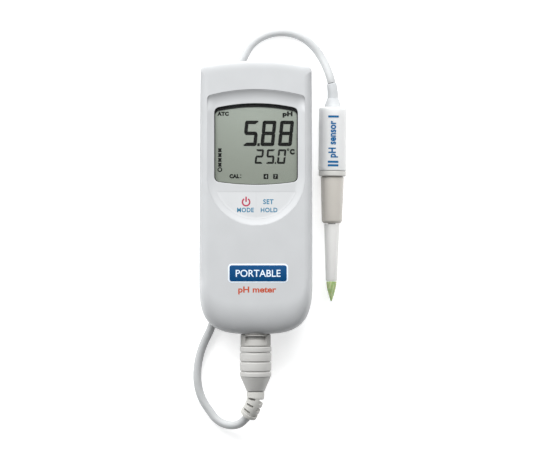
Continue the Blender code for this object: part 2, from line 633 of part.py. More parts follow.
def build():
    """Make every piece of the meter, its plug, cable and probe."""
    clear_scene()
    case = material("case_plastic", (0.63, 0.64, 0.66), 0.4)
    pale = material("panel_plastic", (0.70, 0.71, 0.72), 0.4)
    key_rubber = material("key_rubber", (0.70, 0.71, 0.72), 0.5)
    seal = material("seal_rubber", (0.05, 0.05, 0.05), 0.8)
    pane = material("window_plastic", (0.80, 0.84, 0.82), 0.05)
    glass = material("display_glass", (0.37, 0.41, 0.36), 0.15)
    board_green = material("board_laminate", (0.02, 0.16, 0.06), 0.5)
    black = material("black_plastic", (0.03, 0.03, 0.03), 0.5)
    steel = material("steel", (0.6, 0.6, 0.6), 0.3, 1.0)
    plug_grey = material("plug_plastic", (0.55, 0.54, 0.53), 0.5)
    cord_grey = material("cable_jacket", (0.60, 0.61, 0.62), 0.5)
    white = material("probe_plastic", (0.72, 0.72, 0.71), 0.4)
    taupe = material("sleeve_plastic", (0.60, 0.56, 0.51), 0.5)
    natural = material("stem_plastic", (0.66, 0.65, 0.62), 0.45)
    tip_glass = material("tip_glass", (0.38, 0.50, 0.22), 0.08)
    cell = material("cell_wrap", (0.05, 0.10, 0.30), 0.35)
    front_housing(case)
    rear_cover(case)
    case_gasket(seal)
    cover_screws(steel)
    front_panel(pale)
    display(pane, seal, black, glass, seal)
    board(board_green, black, steel, plug_grey)
    key("mode", -1, key_rubber, black, steel)
    key("hold", 1, key_rubber, black, steel)
    batteries(black, cell, steel)
    socket(steel, black, steel, seal)
    plug(plug_grey, steel, black, plug_grey)
    cable(cord_grey)
    probe(white, taupe, natural, tip_glass, cord_grey, steel, board_green)


build()
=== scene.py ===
import math

import bmesh
import bpy
from mathutils import Matrix, Vector


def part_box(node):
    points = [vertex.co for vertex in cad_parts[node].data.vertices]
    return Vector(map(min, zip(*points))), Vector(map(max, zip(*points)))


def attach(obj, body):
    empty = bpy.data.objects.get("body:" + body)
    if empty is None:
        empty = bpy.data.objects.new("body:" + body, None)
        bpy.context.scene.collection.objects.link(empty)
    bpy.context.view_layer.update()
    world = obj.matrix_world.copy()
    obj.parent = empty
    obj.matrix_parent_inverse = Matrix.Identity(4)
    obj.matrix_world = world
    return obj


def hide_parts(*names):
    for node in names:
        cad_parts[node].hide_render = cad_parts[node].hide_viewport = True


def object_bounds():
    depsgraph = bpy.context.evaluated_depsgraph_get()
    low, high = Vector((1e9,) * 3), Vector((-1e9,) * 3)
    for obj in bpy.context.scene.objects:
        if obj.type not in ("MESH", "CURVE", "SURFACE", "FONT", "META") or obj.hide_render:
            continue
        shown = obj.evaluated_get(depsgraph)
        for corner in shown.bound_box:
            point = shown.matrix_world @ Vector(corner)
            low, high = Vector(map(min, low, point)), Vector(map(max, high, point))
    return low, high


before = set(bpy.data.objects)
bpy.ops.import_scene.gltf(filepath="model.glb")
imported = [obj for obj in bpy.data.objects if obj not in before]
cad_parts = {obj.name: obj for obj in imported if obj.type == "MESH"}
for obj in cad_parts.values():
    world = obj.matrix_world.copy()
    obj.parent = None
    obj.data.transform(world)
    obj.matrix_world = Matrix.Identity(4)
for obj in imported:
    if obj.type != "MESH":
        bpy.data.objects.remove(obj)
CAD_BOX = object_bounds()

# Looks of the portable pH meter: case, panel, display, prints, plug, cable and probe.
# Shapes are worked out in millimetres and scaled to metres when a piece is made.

MM = 0.001


def span(node):
    """A CAD node's lowest and highest corners, in millimetres."""
    low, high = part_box(node)
    return low / MM, high / MM


# ---- places taken from the frame
CASE_LOW, CASE_HIGH = span("front_housing")
HALF_WIDTH, CASE_END, FACE_Z = CASE_HIGH
PARTING_Z = CASE_LOW.z
SEAM_Z = span("rear_cover")[1].z
PANEL_LOW, PANEL_HIGH = span("front_panel")
PANE_LOW, PANE_HIGH = span("display_window")
CELL_LOW, CELL_HIGH = span("lcd_glass")
KEY_LOW, KEY_HIGH = span("hold_button")
COLLAR_HIGH = span("plug_collar")[1]
GRIP_LOW, GRIP_HIGH = span("plug_grip")
BOOT_START_Y = span("plug_boot")[1].y
PLUG_Z = (GRIP_LOW.z + GRIP_HIGH.z) / 2
PLUG_AXIS = Matrix.Translation((0, 0, PLUG_Z))
SOCKET_LOW, SOCKET_HIGH = span("din_socket")

# ---- the case
NOSE_START = -44.0              # where the leaning sides give way to the rounded lower end
NOSE_POWER = 3.4                # superellipse exponent of the lower end
CROWN_RADIUS = 151.0
CROWN_CORNER = 3.0
WALL = 2.6                      # thickness
LEAN_IN = 0.65                  # the sides close in by this much towards the top
FACE_EDGE = dict(side=5.0, top=4.5, nose=17.0)
FACE_EDGE_DEPTH = 8.0
TOP_EDGE_DEPTH = 1.0            # the face's edge is this shallow along the top
TOP_EDGE_START, TOP_EDGE_FULL = 45.0, CASE_END - 8.0    # it gets shallower between these places
BACK_EDGE = dict(side=6.0, top=5.0, nose=8.0)
BACK_EDGE_DEPTH = 6.0
BACK_Z = 5.5                    # the back without its battery hump
SEAM_CHAMFER = 0.25
HUMP_HALF, HUMP_LOW, HUMP_HIGH, HUMP_CORNER = 18.3, -56.0, 38.0, 7.0    # battery hump

# ---- panel, window and keys
SHIELD_HALF = PANEL_HIGH.x + 0.3
SHIELD_CROWN = PANEL_HIGH.y + 0.3
SHIELD_ARC_Y = PANEL_LOW.y - 0.3 + SHIELD_HALF      # centre of the lower half circle
SHIELD_CROWN_RADIUS = 102.0
SHIELD_CORNER = 2.5
RECESS_Z = PANEL_LOW.z - 0.3
RIM_WIDTH = 4.4                 # sloping border of the dish
RIM_CURVE = 1.25
CREASE_Y = KEY_HIGH.y + 0.4     # from this line, just above the keys, the dish falls to the cove
DISH_Z = 28.7                   # height along that line
KEY_SLOPE = 0.010               # the keys rise this gently towards the lower end
COVE_REACH = 9.2                # the cove under the crown is this wide
COVE_CURVE = 3.0                # and this much steeper at its top than a flat slope
COVE_FOOT_Z = 27.95             # height where the dish meets the cove
PANEL_EDGE_Z = FACE_Z - 0.05
WINDOW_GROW = 1.1               # the pane is this much larger than its opening
WINDOW = dict(half=PANE_HIGH.x - WINDOW_GROW, high=PANE_HIGH.y - WINDOW_GROW, high_radius=100.0,
              low=PANE_LOW.y + WINDOW_GROW, low_radius=143.0, corner=3.0)
KEY_RADIUS = 23.9
KEY_SEAM = 0.015                # half of the gap between the keys
STEM_RADIUS, STEM_TOP = 2.2, 28.0
CUT_LOW, CUT_HIGH = 20.0, 33.0  # cutters through the panel reach from below it to above it
INK_GAP, INK = 0.012, 0.02      # the key legends start this far above the dish and are this thick

# ---- cable
CORD_RADIUS = 2.35
CORD_ROUTE = (
    (-4.5, -124.2, 12.5), (-5.4, -125.65, 11.75), (-8.5, -128.65, 9.8), (-12.6, -130.0, 7.5),
    (-17.7, -129.4, 5.3), (-22.5, -126.6, 3.8), (-26.2, -121.9, 2.9), (-29.8, -116.4, 2.5),
    (-32.0, -110.9, 2.4), (-33.1, -105.1, 2.4), (-33.2, -99.4, 2.4), (-32.5, -93.6, 2.4),
    (-31.1, -87.9, 2.4), (-28.9, -82.1, 2.4), (-26.1, -76.3, 2.4), (-23.9, -70.0, 2.4),
    (-22.6, -62.0, 2.4), (-22.2, -48.0, 2.4), (-23.0, -28.0, 2.4), (-24.1, -8.0, 2.4),
    (-24.9, 12.0, 2.4), (-25.0, 30.0, 2.4), (-23.3, 46.0, 2.4), (-19.3, 59.0, 2.4),
    (-13.9, 70.0, 2.4), (-7.6, 79.1, 2.4), (-2.8, 87.5, 2.4), (3.6, 92.7, 2.4),
    (12.0, 95.4, 2.4), (20.6, 95.1, 2.4), (28.6, 91.8, 2.4), (34.6, 86.4, 2.5),
    (37.9, 81.6, 3.1), (40.0, 77.5, 4.4), (41.5, 73.8, 5.9), (42.6, 70.5, 7.2),
    (43.3, 68.0, 7.9), (43.7, 66.15, 8.05),
)


# ======== materials
def remapped(tree, source, *ends):
    """Map a source from a low and a high to another low and high, which are 0 and 1 by default."""
    made = tree.nodes.new("ShaderNodeMapRange")
    for socket, value in zip(("From Min", "From Max", "To Min", "To Max"), ends):
        made.inputs[socket].default_value = value
    tree.links.new(source, made.inputs["Value"])
    return made.outputs["Result"]


class Look:
    """A Principled material with small helpers for its procedural nodes."""

    def __init__(self, name, roughness=0.45, metallic=0.0, **fixed):
        self.made = bpy.data.materials.new(name)
        self.made.use_nodes = True
        self.nodes = self.made.node_tree.nodes
        self.links = self.made.node_tree.links
        self.shader = self.nodes["Principled BSDF"]
        self.shader.inputs["Roughness"].default_value = roughness
        self.shader.inputs["Metallic"].default_value = metallic
        for socket, value in fixed.items():
            self.shader.inputs[socket.replace("_", " ")].default_value = value
        self.place = self.nodes.new("ShaderNodeTexCoord").outputs["Object"]

    def node(self, kind, **values):
        """A node with these inputs or settings."""
        made = self.nodes.new(kind)
        for key, value in values.items():
            if key in made.inputs:
                made.inputs[key].default_value = value
            else:
                setattr(made, key, value)
        return made

    def link(self, source, target):
        self.links.new(source, target)

    def through(self, kind, source, into, out, **values):
        """Send a source through a new node, from one of its inputs to one of its outputs."""
        made = self.node(kind, **values)
        self.link(source, made.inputs[into])
        return made.outputs[out]

    def stretched(self, scale):
        """Object coordinates scaled by a different amount along each axis."""
        return self.through("ShaderNodeMapping", self.place, "Vector", "Vector", Scale=scale)

    def noise(self, size, detail=2.0, place=None):
        """Noise whose lumps are about this many millimetres across."""
        return self.through("ShaderNodeTexNoise", place or self.place, "Vector", "Fac",
                            Scale=1.0 / (size * MM), Detail=detail)

    def ramp(self, source, *stops):
        """A colour ramp: each stop is a place and a colour."""
        made = self.nodes.new("ShaderNodeValToRGB")
        points = made.color_ramp.elements
        while len(points) < len(stops):
            points.new(0.5)
        for point, (at, colour) in zip(points, stops):
            point.position = at
            point.color = (*colour, 1.0)
        self.link(source, made.inputs["Fac"])
        return made.outputs["Color"]

    def spread(self, source, low, high, target):
        """Map a 0.3 to 0.7 noise onto a range and send it to a shader input."""
        self.link(remapped(self.made.node_tree, source, 0.3, 0.7, low, high),
                  self.shader.inputs[target])

    def share(self, axis, low, high):
        """0 to 1 between two places along one axis, given in millimetres."""
        part = self.through("ShaderNodeSeparateXYZ", self.place, "Vector", axis)
        return remapped(self.made.node_tree, part, low * MM, high * MM)

    def colour(self, output):
        self.link(output, self.shader.inputs["Base Color"])

    def bump(self, source, height, strength=0.6):
        """Relief of this height in millimetres."""
        self.link(self.through("ShaderNodeBump", source, "Height", "Normal", Strength=strength,
                               Distance=height * MM), self.shader.inputs["Normal"])


def shade(colour, factor):
    """The colour, darker or lighter."""
    return tuple(min(1.0, channel * factor) for channel in colour)


def plastic(name, colour, roughness=0.42, grain=0.35, relief=0.008, mottle=0.025, **fixed):
    """Moulded plastic: faint cloudiness, spark-eroded grain, uneven gloss."""
    look = Look(name, roughness, **fixed)
    clouds = look.noise(14.0, 3.0)
    look.colour(look.ramp(clouds, (0.25, shade(colour, 1 - mottle)), (0.75, shade(colour, 1 + mottle))))
    look.spread(look.noise(5.0, 4.0), roughness - 0.04, roughness + 0.05, "Roughness")
    look.bump(look.noise(grain, 3.0), relief)
    return look.made


def rubber(name, colour, roughness=0.6):
    """Like the plastics, with a coarser and duller surface."""
    return plastic(name, colour, roughness, grain=0.25, relief=0.012, mottle=0.05)


def metal(name, colour, roughness=0.28):
    """Drawn or turned metal with fine lines along its length."""
    look = Look(name, roughness, 1.0)
    lines = look.noise(0.12, 2.0, look.stretched((1.0, 0.08, 1.0)))
    look.colour(look.ramp(lines, (0.3, shade(colour, 0.9)), (0.7, shade(colour, 1.05))))
    look.spread(lines, roughness - 0.06, roughness + 0.1, "Roughness")
    look.bump(lines, 0.004)
    return look.made


def ink(name, colour, roughness=0.4):
    """Pad-printed ink, slightly uneven in thickness."""
    look = Look(name, roughness, Specular_IOR_Level=0.2)
    spots = look.noise(0.8, 4.0)
    look.colour(look.ramp(spots, (0.3, shade(colour, 0.95)), (0.7, shade(colour, 1.05))))
    look.bump(spots, 0.003)
    return look.made


def clear_plastic(name):
    """Clear acrylic: almost nothing of it shows except a faint smoky tint."""
    look = Look(name, 0.05, IOR=1.49, Alpha=0.07)
    look.colour(look.ramp(look.noise(20.0), (0.3, (0.02, 0.022, 0.02)), (0.7, (0.03, 0.032, 0.03))))
    return look.made


def display_film(name):
    """Grey-green reflective film, with painted shade that makes it a little darker towards the bottom
    of the display.
    """
    look = Look(name, 0.5)
    # painted shade: the film's colour darkens towards the bottom of the window
    painted_shade_fade = look.ramp(look.share("Y", WINDOW["low"], WINDOW["high"]),
                     (0.0, (0.292, 0.322, 0.272)), (1.0, (0.345, 0.384, 0.335)))
    speckle = look.ramp(look.noise(0.5, 4.0), (0.3, (0.97, 0.97, 0.97)), (0.7, (1.0, 1.0, 1.0)))
    mixed = look.node("ShaderNodeMix", data_type="RGBA", blend_type="MULTIPLY")
    mixed.inputs["Factor"].default_value = 1.0
    look.link(painted_shade_fade, mixed.inputs["A"])
    look.link(speckle, mixed.inputs["B"])
    look.colour(mixed.outputs["Result"])
    look.bump(look.noise(0.3), 0.002)
    return look.made


def tip_material(name):
    """Green gel seen through glass: long dark streaks in the gel, and pale streaks that are painted
    highlights of the glass.
    """
    look = Look(name, 0.12, Coat_Weight=0.8, Coat_Roughness=0.04, IOR=1.5, Subsurface_Weight=0.35,
                Subsurface_Scale=0.002, Transmission_Weight=0.15)
    streaks_and_painted_highlights = look.noise(1.4, 3.0, look.stretched((1.0, 0.16, 1.0)))
    # the dark stop is streaks in the gel, the palest stop is painted highlight along the glass
    look.colour(look.ramp(streaks_and_painted_highlights, (0.36, (0.30, 0.42, 0.13)), (0.5, (0.44, 0.60, 0.25)),
                          (0.66, (0.66, 0.78, 0.46))))
    look.bump(look.noise(1.5), 0.01)
    return look.made


def circuit_board(name):
    """Green solder resist over copper tracks."""
    look = Look(name, 0.35)
    tracks = look.node("ShaderNodeTexBrick", Scale=180.0, offset=0.35, Color1=(0.010, 0.13, 0.045, 1),
                       Color2=(0.012, 0.16, 0.055, 1), Mortar=(0.035, 0.26, 0.10, 1),
                       **{"Mortar Size": 0.06})
    look.link(look.place, tracks.inputs["Vector"])
    look.colour(tracks.outputs["Color"])
    look.bump(tracks.outputs["Fac"], 0.03)
    return look.made


def banded(name, axis, stops, roughness=0.35, metallic=0.0):
    """Colours that change along one axis between two places, given in millimetres."""
    look = Look(name, roughness, metallic)
    first, last = stops[0][0], stops[-1][0]
    look.colour(look.ramp(look.share(axis, first, last),
                          *[((at - first) / (last - first), colour) for at, colour in stops]))
    look.bump(look.noise(0.6), 0.004)
    return look.made


# ======== making pieces
def skin(rings, closed=False):
    """A bmesh through matching rings of points: capped at both ends, or closed on itself."""
    work = bmesh.new()
    loops = [[work.verts.new(point) for point in ring] for ring in rings]
    count = len(loops[0])
    following = loops[1:] + loops[:1] if closed else loops[1:]
    for low, high in zip(loops, following):
        for i in range(count):
            j = (i + 1) % count
            work.faces.new((low[i], low[j], high[j], high[i]))
    if not closed:
        work.faces.new(loops[0])
        work.faces.new(loops[-1])
    bmesh.ops.recalc_face_normals(work, faces=work.faces)
    return work


def spun(profile, steps=96, closed=False):
    """Spin (radius, y) points about the y axis. Open profiles start and end on the axis."""
    work = bmesh.new()
    points = [work.verts.new((radius, y, 0)) for radius, y in profile]
    pairs = list(zip(points, points[1:])) + ([(points[-1], points[0])] if closed else [])
    edges = [work.edges.new(pair) for pair in pairs]
    bmesh.ops.spin(work, geom=points + edges, cent=(0, 0, 0), axis=(0, 1, 0),
                   angle=math.tau, steps=steps, use_duplicate=False)
    bmesh.ops.remove_doubles(work, verts=work.verts, dist=0.0005)
    bmesh.ops.recalc_face_normals(work, faces=work.faces)
    return work


def moved(work, matrix):
    bmesh.ops.transform(work, matrix=matrix, verts=work.verts)
    return work


def taken(mesh):
    """A mesh's shape as a bmesh, in the mesh's own units; the mesh is removed."""
    work = bmesh.new()
    work.from_mesh(mesh)
    bpy.data.meshes.remove(mesh)
    return work


def merged(*works):
    """Several bmeshes as one."""
    whole = bmesh.new()
    for work in works:
        mesh = bpy.data.meshes.new("part")
        work.to_mesh(mesh)
        work.free()
        whole.from_mesh(mesh)
        bpy.data.meshes.remove(mesh)
    return whole


def to_mesh(name, work):
    bmesh.ops.scale(work, vec=(MM, MM, MM), verts=work.verts)
    mesh = bpy.data.meshes.new(name)
    work.to_mesh(mesh)
    work.free()
    return mesh


def linked(name, data):
    made = bpy.data.objects.new(name, data)
    bpy.context.scene.collection.objects.link(made)
    return made


def carved(name, base, cuts=(), keeps=(), joins=()):
    """The base bmesh with others joined on, intersected or cut away, as a mesh in metres."""
    whole = linked(name, to_mesh(name, base))
    tools = []
    for operation, works in (("UNION", joins), ("INTERSECT", keeps), ("DIFFERENCE", cuts)):
        for work in works:
            tool = linked("tool", to_mesh("tool", work))
            step = whole.modifiers.new("step", "BOOLEAN")
            step.operation, step.object, step.solver = operation, tool, "EXACT"
            tools.append(tool)
    graph = bpy.context.evaluated_depsgraph_get()
    mesh = bpy.data.meshes.new_from_object(whole.evaluated_get(graph))
    for item in tools + [whole]:
        bpy.data.objects.remove(item)
    return mesh


def piece(name, shape, look, body, replaces=None, sharp=32, weighted=False):
    """A smooth-shaded piece, from a bmesh in millimetres or a mesh in metres."""
    mesh = shape if isinstance(shape, bpy.types.Mesh) else to_mesh(name, shape)
    mesh.name = name
    mesh.shade_smooth()
    mesh.set_sharp_from_angle(angle=math.radians(sharp))
    mesh.materials.clear()
    mesh.materials.append(look)
    made = linked(name, mesh)
    if weighted:
        step = made.modifiers.new("flat_faces_first", "WEIGHTED_NORMAL")
        step.keep_sharp = True
    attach(made, body)
    if replaces:
        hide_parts(replaces)
    return made


def rounded(profile, radius, steps=4, closed=False):
    """A profile with each inner corner softened. A corner never takes more than a third of a side."""
    points = [Vector(point) for point in profile]
    count = len(points)
    softened = []
    for i, here in enumerate(points):
        if not closed and i in (0, count - 1):
            softened.append(tuple(here))
            continue
        before, after = points[i - 1] - here, points[(i + 1) % count] - here
        start = here + before.normalized() * min(radius, before.length / 3)
        end = here + after.normalized() * min(radius, after.length / 3)
        for step in range(steps + 1):
            t = step / steps
            softened.append(tuple(start.lerp(here, t).lerp(here.lerp(end, t), t)))
    return softened


def turned(profile, soften, axis, steps=128, closed=True, fineness=4):
    """A profile of (radius, y) points, softened, spun about the y axis and moved to its place."""
    return moved(spun(rounded(profile, soften, fineness, closed), steps, closed), axis)


def turns(steps):
    """Angles of a whole turn."""
    return [math.tau * i / steps for i in range(steps)]


# ======== outlines in plan
def arc(x, y, radius, first, last, steps):
    """Points along part of a circle, both ends included."""
    angles = [first + (last - first) * i / steps for i in range(steps + 1)]
    return [(x + radius * math.cos(turn), y + radius * math.sin(turn)) for turn in angles]


def circle(x, y, radius, steps=32):
    return arc(x, y, radius, 0.0, math.tau, steps)[:-1]


def arch(half, crown, radius, corner, corner_steps=10, arc_steps=36):
    """Points from right to left over a shallow arc with rounded corners."""
    centre_y = crown - radius
    corner_x = half - corner
    corner_y = centre_y + math.sqrt((radius - corner) ** 2 - corner_x ** 2)
    lean = math.atan2(corner_y - centre_y, corner_x)
    right = arc(corner_x, corner_y, corner, 0.0, lean, corner_steps)[:-1]
    top = arc(0.0, centre_y, radius, lean, math.pi - lean, arc_steps)
    return right + top + [(-x, y) for x, y in reversed(right)]


def case_outline(side=0.0, top=0.0, nose=0.0, steps=72):
    """The case in plan, anticlockwise, each side moved in by its own amount."""
    half = HALF_WIDTH - side
    depth = CASE_END + NOSE_START - nose
    outline = arch(half - LEAN_IN, CASE_END - top, CROWN_RADIUS, CROWN_CORNER)
    for i in range(steps + 1):
        turn = math.pi * i / steps
        x = -half * math.copysign(abs(math.cos(turn)) ** (2 / NOSE_POWER), math.cos(turn))
        outline.append((x, NOSE_START - depth * math.sin(turn) ** (2 / NOSE_POWER)))
    return outline


def case_ring(z, inset, edge=None, amount=0.0):
    """One level of the case: a plain inset plus a share of an edge's rounding."""
    extra = {key: inset + amount * value for key, value in (edge or FACE_EDGE).items()}
    return [(x, y, z) for x, y in case_outline(**extra)]


def face_ring(amount, down):
    """One line of the face's rounded edge, which is shallower along the top."""
    ring = []
    for x, y, z in case_ring(FACE_Z, 0.0, amount=amount):
        share = ease((y - TOP_EDGE_START) / (TOP_EDGE_FULL - TOP_EDGE_START))
        depth = FACE_EDGE_DEPTH + (TOP_EDGE_DEPTH - FACE_EDGE_DEPTH) * share
        ring.append((x, y, z - depth * down))
    return ring


def ease(share):
    """Smooth step from 0 to 1."""
    share = min(1.0, max(0.0, share))
    return share * share * (3 - 2 * share)


def rounding(steps):
    """Shares of an edge's width and depth along a quarter ellipse, from the face outwards."""
    for i in range(steps + 1):
        turn = math.pi / 2 * i / steps
        yield 1 - math.sin(turn), 1 - math.cos(turn)


def rounded_rectangle(half, low, high, corner, steps=8, centre=0.0):
    """A rounded rectangle in plan, anticlockwise."""
    points = []
    for quarter, side, y in ((0, 1, high - corner), (1, -1, high - corner), (2, -1, low + corner),
                             (3, 1, low + corner)):
        points += arc(centre + side * (half - corner), y, corner, math.pi / 2 * quarter,
                      math.pi / 2 * (quarter + 1), steps)
    return points


def bulged_rectangle(half, high, high_radius, low, low_radius, corner, grow=0.0):
    """The window's shape: upright sides, top and bottom each a shallow arc."""
    top = arch(half + grow, high + grow, high_radius, corner + grow, 8, 20)
    bottom = arch(half + grow, grow - low, low_radius, corner + grow, 8, 20)
    return top + [(-x, -y) for x, y in bottom]


def shield_outline(inset=0.0):
    """Arched at the top, a half circle at the bottom."""
    half = SHIELD_HALF - inset
    return (arch(half, SHIELD_CROWN - inset, SHIELD_CROWN_RADIUS, SHIELD_CORNER)
            + arc(0.0, SHIELD_ARC_Y, half, math.pi, math.tau, 72))


def key_outline(side, seam, grow=0.0):
    """Half of the key area: straight top, round below, split at the middle."""
    top, radius = KEY_HIGH.y + grow, KEY_RADIUS + grow
    first = math.asin((top - SHIELD_ARC_Y) / radius)
    points = [(seam, top)] if seam else []
    points += arc(0.0, SHIELD_ARC_Y, radius, first, -math.acos(seam / radius), 48)
    return [(side * x, y) for x, y in points]


def ring_at(outline, height):
    """A level of points at a fixed height, or following a height function."""
    level = height if callable(height) else (lambda x, y: height)
    return [(x, y, level(x, y)) for x, y in outline]


def prism(outline, low, high):
    return skin([ring_at(outline, low), ring_at(outline, high)])


def soft_plate(shape, low, high, edge, steps=4):
    """A plate with rounded upper and lower edges; shape(inset) gives its outline."""
    rings = [ring_at(shape(edge * width), low + edge * down) for width, down in rounding(steps)]
    rings += [ring_at(shape(edge * width), high - edge * down)
              for width, down in reversed(list(rounding(steps)))]
    return skin(rings)


def lip_cutter(shape, height, lip, floor, steps=5):
    """A cutter that leaves a rounded lip of this radius; shape(grow) gives its outline."""
    rings = [ring_at(shape(lip), lambda x, y: height(x, y) + 3.0)]
    for width, down in rounding(steps):
        rings.append(ring_at(shape(lip * width),
                             lambda x, y, down=down: height(x, y) - lip * down - 0.01))
    rings.append(ring_at(shape(0.0), floor))
    return skin(rings)


# ======== camera, light and table
LENS_MM, SENSOR_MM = 138.8, 36.0
CAMERA_PLACE = Vector((-27.1, -15.3, 1200.0))
CAMERA_AIM = Vector((7.9, -15.3, 26.0))
SOFTBOX_PLACE = (-0.15, 0.85, 0.80)         # this and the softbox's size are in metres
SOFTBOX_SIZE = (2.0, 0.45)
SOFTBOX_WATTS = 20.5
BRIGHT_SIDE = (-0.22, 0.96, 0.0)            # the studio is brightest in this direction
STUDIO_DARK_TO_BRIGHT = (0.06, 1.68)
TABLE_REACH, TABLE_THICKNESS = 3000.0, 12.0


def camera_and_light():
    """A long lens straight above the table, one soft light beyond the top of the meter."""
    data = bpy.data.cameras.new("camera")
    data.lens, data.sensor_width = LENS_MM, SENSOR_MM
    camera = linked("camera", data)
    camera.location = CAMERA_PLACE * MM
    sight = CAMERA_AIM * MM - CAMERA_PLACE * MM
    camera.rotation_euler = (0.0, -math.atan2(sight.x, -sight.z), 0.0)
    bpy.context.scene.camera = camera
    bpy.context.scene.view_settings.view_transform = "Standard"

    lamp = bpy.data.lights.new("softbox", "AREA")
    lamp.shape, lamp.size, lamp.size_y, lamp.energy = "RECTANGLE", *SOFTBOX_SIZE, SOFTBOX_WATTS
    softbox = linked("softbox", lamp)
    softbox.location = SOFTBOX_PLACE
    softbox.rotation_mode = "QUATERNION"
    softbox.rotation_quaternion = (-softbox.location).to_track_quat("-Z", "Y")

    world = bpy.data.worlds.new("studio")
    bpy.context.scene.world = world
    world.use_nodes = True
    tree = world.node_tree
    background = tree.nodes["Background"]
    background.inputs["Color"].default_value = (0.985, 0.995, 1.0, 1.0)
    facing = tree.nodes.new("ShaderNodeVectorMath")
    facing.operation = "DOT_PRODUCT"
    facing.inputs[1].default_value = BRIGHT_SIDE
    tree.links.new(tree.nodes.new("ShaderNodeTexCoord").outputs["Generated"], facing.inputs[0])
    tree.links.new(remapped(tree, facing.outputs["Value"], -0.45, 1.0, *STUDIO_DARK_TO_BRIGHT),
                   background.inputs["Strength"])


def table_top():
    """A wide white table under everything, lit from within."""
    top = CAD_BOX[0].z / MM
    look = Look("table_white", 0.7, Emission_Strength=0.48)
    look.shader.inputs["Emission Color"].default_value = (1.0, 1.0, 1.0, 1.0)
    look.colour(look.ramp(look.noise(60.0), (0.3, (0.86, 0.86, 0.86)), (0.7, (0.88, 0.88, 0.88))))
    work = soft_plate(
        lambda inset: rounded_rectangle(TABLE_REACH - inset, -TABLE_REACH, TABLE_REACH, 40.0),
        top - TABLE_THICKNESS, top, 2.0)
    mesh = to_mesh("table", work)
    mesh.materials.append(look.made)
    linked("table", mesh)


# ======== cable
def smooth_path(route, step):
    """Points about one step apart on a smooth curve through the route's own points."""
    points = [Vector(point) for point in route]
    padded = [2 * points[0] - points[1]] + points + [2 * points[-1] - points[-2]]
    fine = []
    for a, b, c, d in zip(padded, padded[1:], padded[2:], padded[3:]):
        for t in (i / 20 for i in range(20)):
            fine.append(0.5 * (2 * b + (c - a) * t + (2 * a - 5 * b + 4 * c - d) * t ** 2
                               + (3 * b - a - 3 * c + d) * t ** 3))
    fine.append(points[-1])
    lengths = [0.0]
    for a, b in zip(fine, fine[1:]):
        lengths.append(lengths[-1] + (b - a).length)
    count = round(lengths[-1] / step)
    path, index = [], 0
    for goal in (lengths[-1] * i / count for i in range(count + 1)):
        while index < len(fine) - 2 and lengths[index + 1] < goal:
            index += 1
        share = (goal - lengths[index]) / (lengths[index + 1] - lengths[index])
        path.append(fine[index].lerp(fine[index + 1], share))
    return path, lengths[-1]


def cable(look):
    """The jacketed cable between the plug's boot and the probe, as one curve."""
    path, length = smooth_path(CORD_ROUTE, step=1.2)
    curve = bpy.data.curves.new("cable", "CURVE")
    curve.dimensions = "3D"
    curve.bevel_depth = CORD_RADIUS * MM
    curve.bevel_resolution = 8
    curve.use_fill_caps = True
    spline = curve.splines.new("POLY")
    spline.points.add(len(path) - 1)
    for point, place in zip(spline.points, path):
        point.co = (*(place * MM), 1.0)
    spline.use_smooth = True
    curve.materials.append(look)
    made = linked("cable", curve)
    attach(made, "probe_lead")
    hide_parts("probe_cable")
    return made, path, length


# ======== case
UPRIGHT = Matrix.Rotation(-math.pi / 2, 4, "X")     # stands a turned shape on end


def socket_room():
    """Cutters for the socket: its hole through the nose and the pocket behind it."""
    front = SOCKET_LOW.y + 5.2
    return [moved(spun(((0, low), (radius, low), (radius, high), (0, high))), PLUG_AXIS)
            for radius, low, high in ((SOCKET_HIGH.x - 0.8, front - 9.0, front + 2.0),
                                      (SOCKET_HIGH.x + 0.4, front, SOCKET_HIGH.y + 4.0))]


def front_shell(look):
    """Upper shell: rounded face, lip round the dish, tray under it, half of the socket's hole."""
    outer = [case_ring(FACE_Z, 0.6, amount=1.0)]
    outer += [face_ring(width, down) for width, down in rounding(16)]
    rim = [case_ring(PARTING_Z + SEAM_CHAMFER, 0.0), case_ring(PARTING_Z, SEAM_CHAMFER),
           case_ring(PARTING_Z, WALL)]
    inner = [case_ring(z, WALL, amount=share)
             for z, share in ((19.0, 0.0), (24.0, 0.12), (FACE_Z - 2.5, 0.6))]
    tray = prism(shield_outline(-1.6), RECESS_Z - 1.2, FACE_Z - 1.5)
    cuts = (lip_cutter(lambda grow: shield_outline(-grow), lambda x, y: FACE_Z, lip=0.12,
                       floor=RECESS_Z),
            prism(bulged_rectangle(**WINDOW), RECESS_Z - 2, RECESS_Z + 1), *socket_room())
    mesh = carved("case_front", skin(outer + rim + inner), cuts, joins=(tray,))
    piece("case_front", mesh, look, "meter", "front_housing", sharp=30,
          weighted=True)


def hump(inset):
    """Outline of the battery hump."""
    return rounded_rectangle(HUMP_HALF - inset, HUMP_LOW + inset, HUMP_HIGH - inset,
                             HUMP_CORNER - inset, 12)


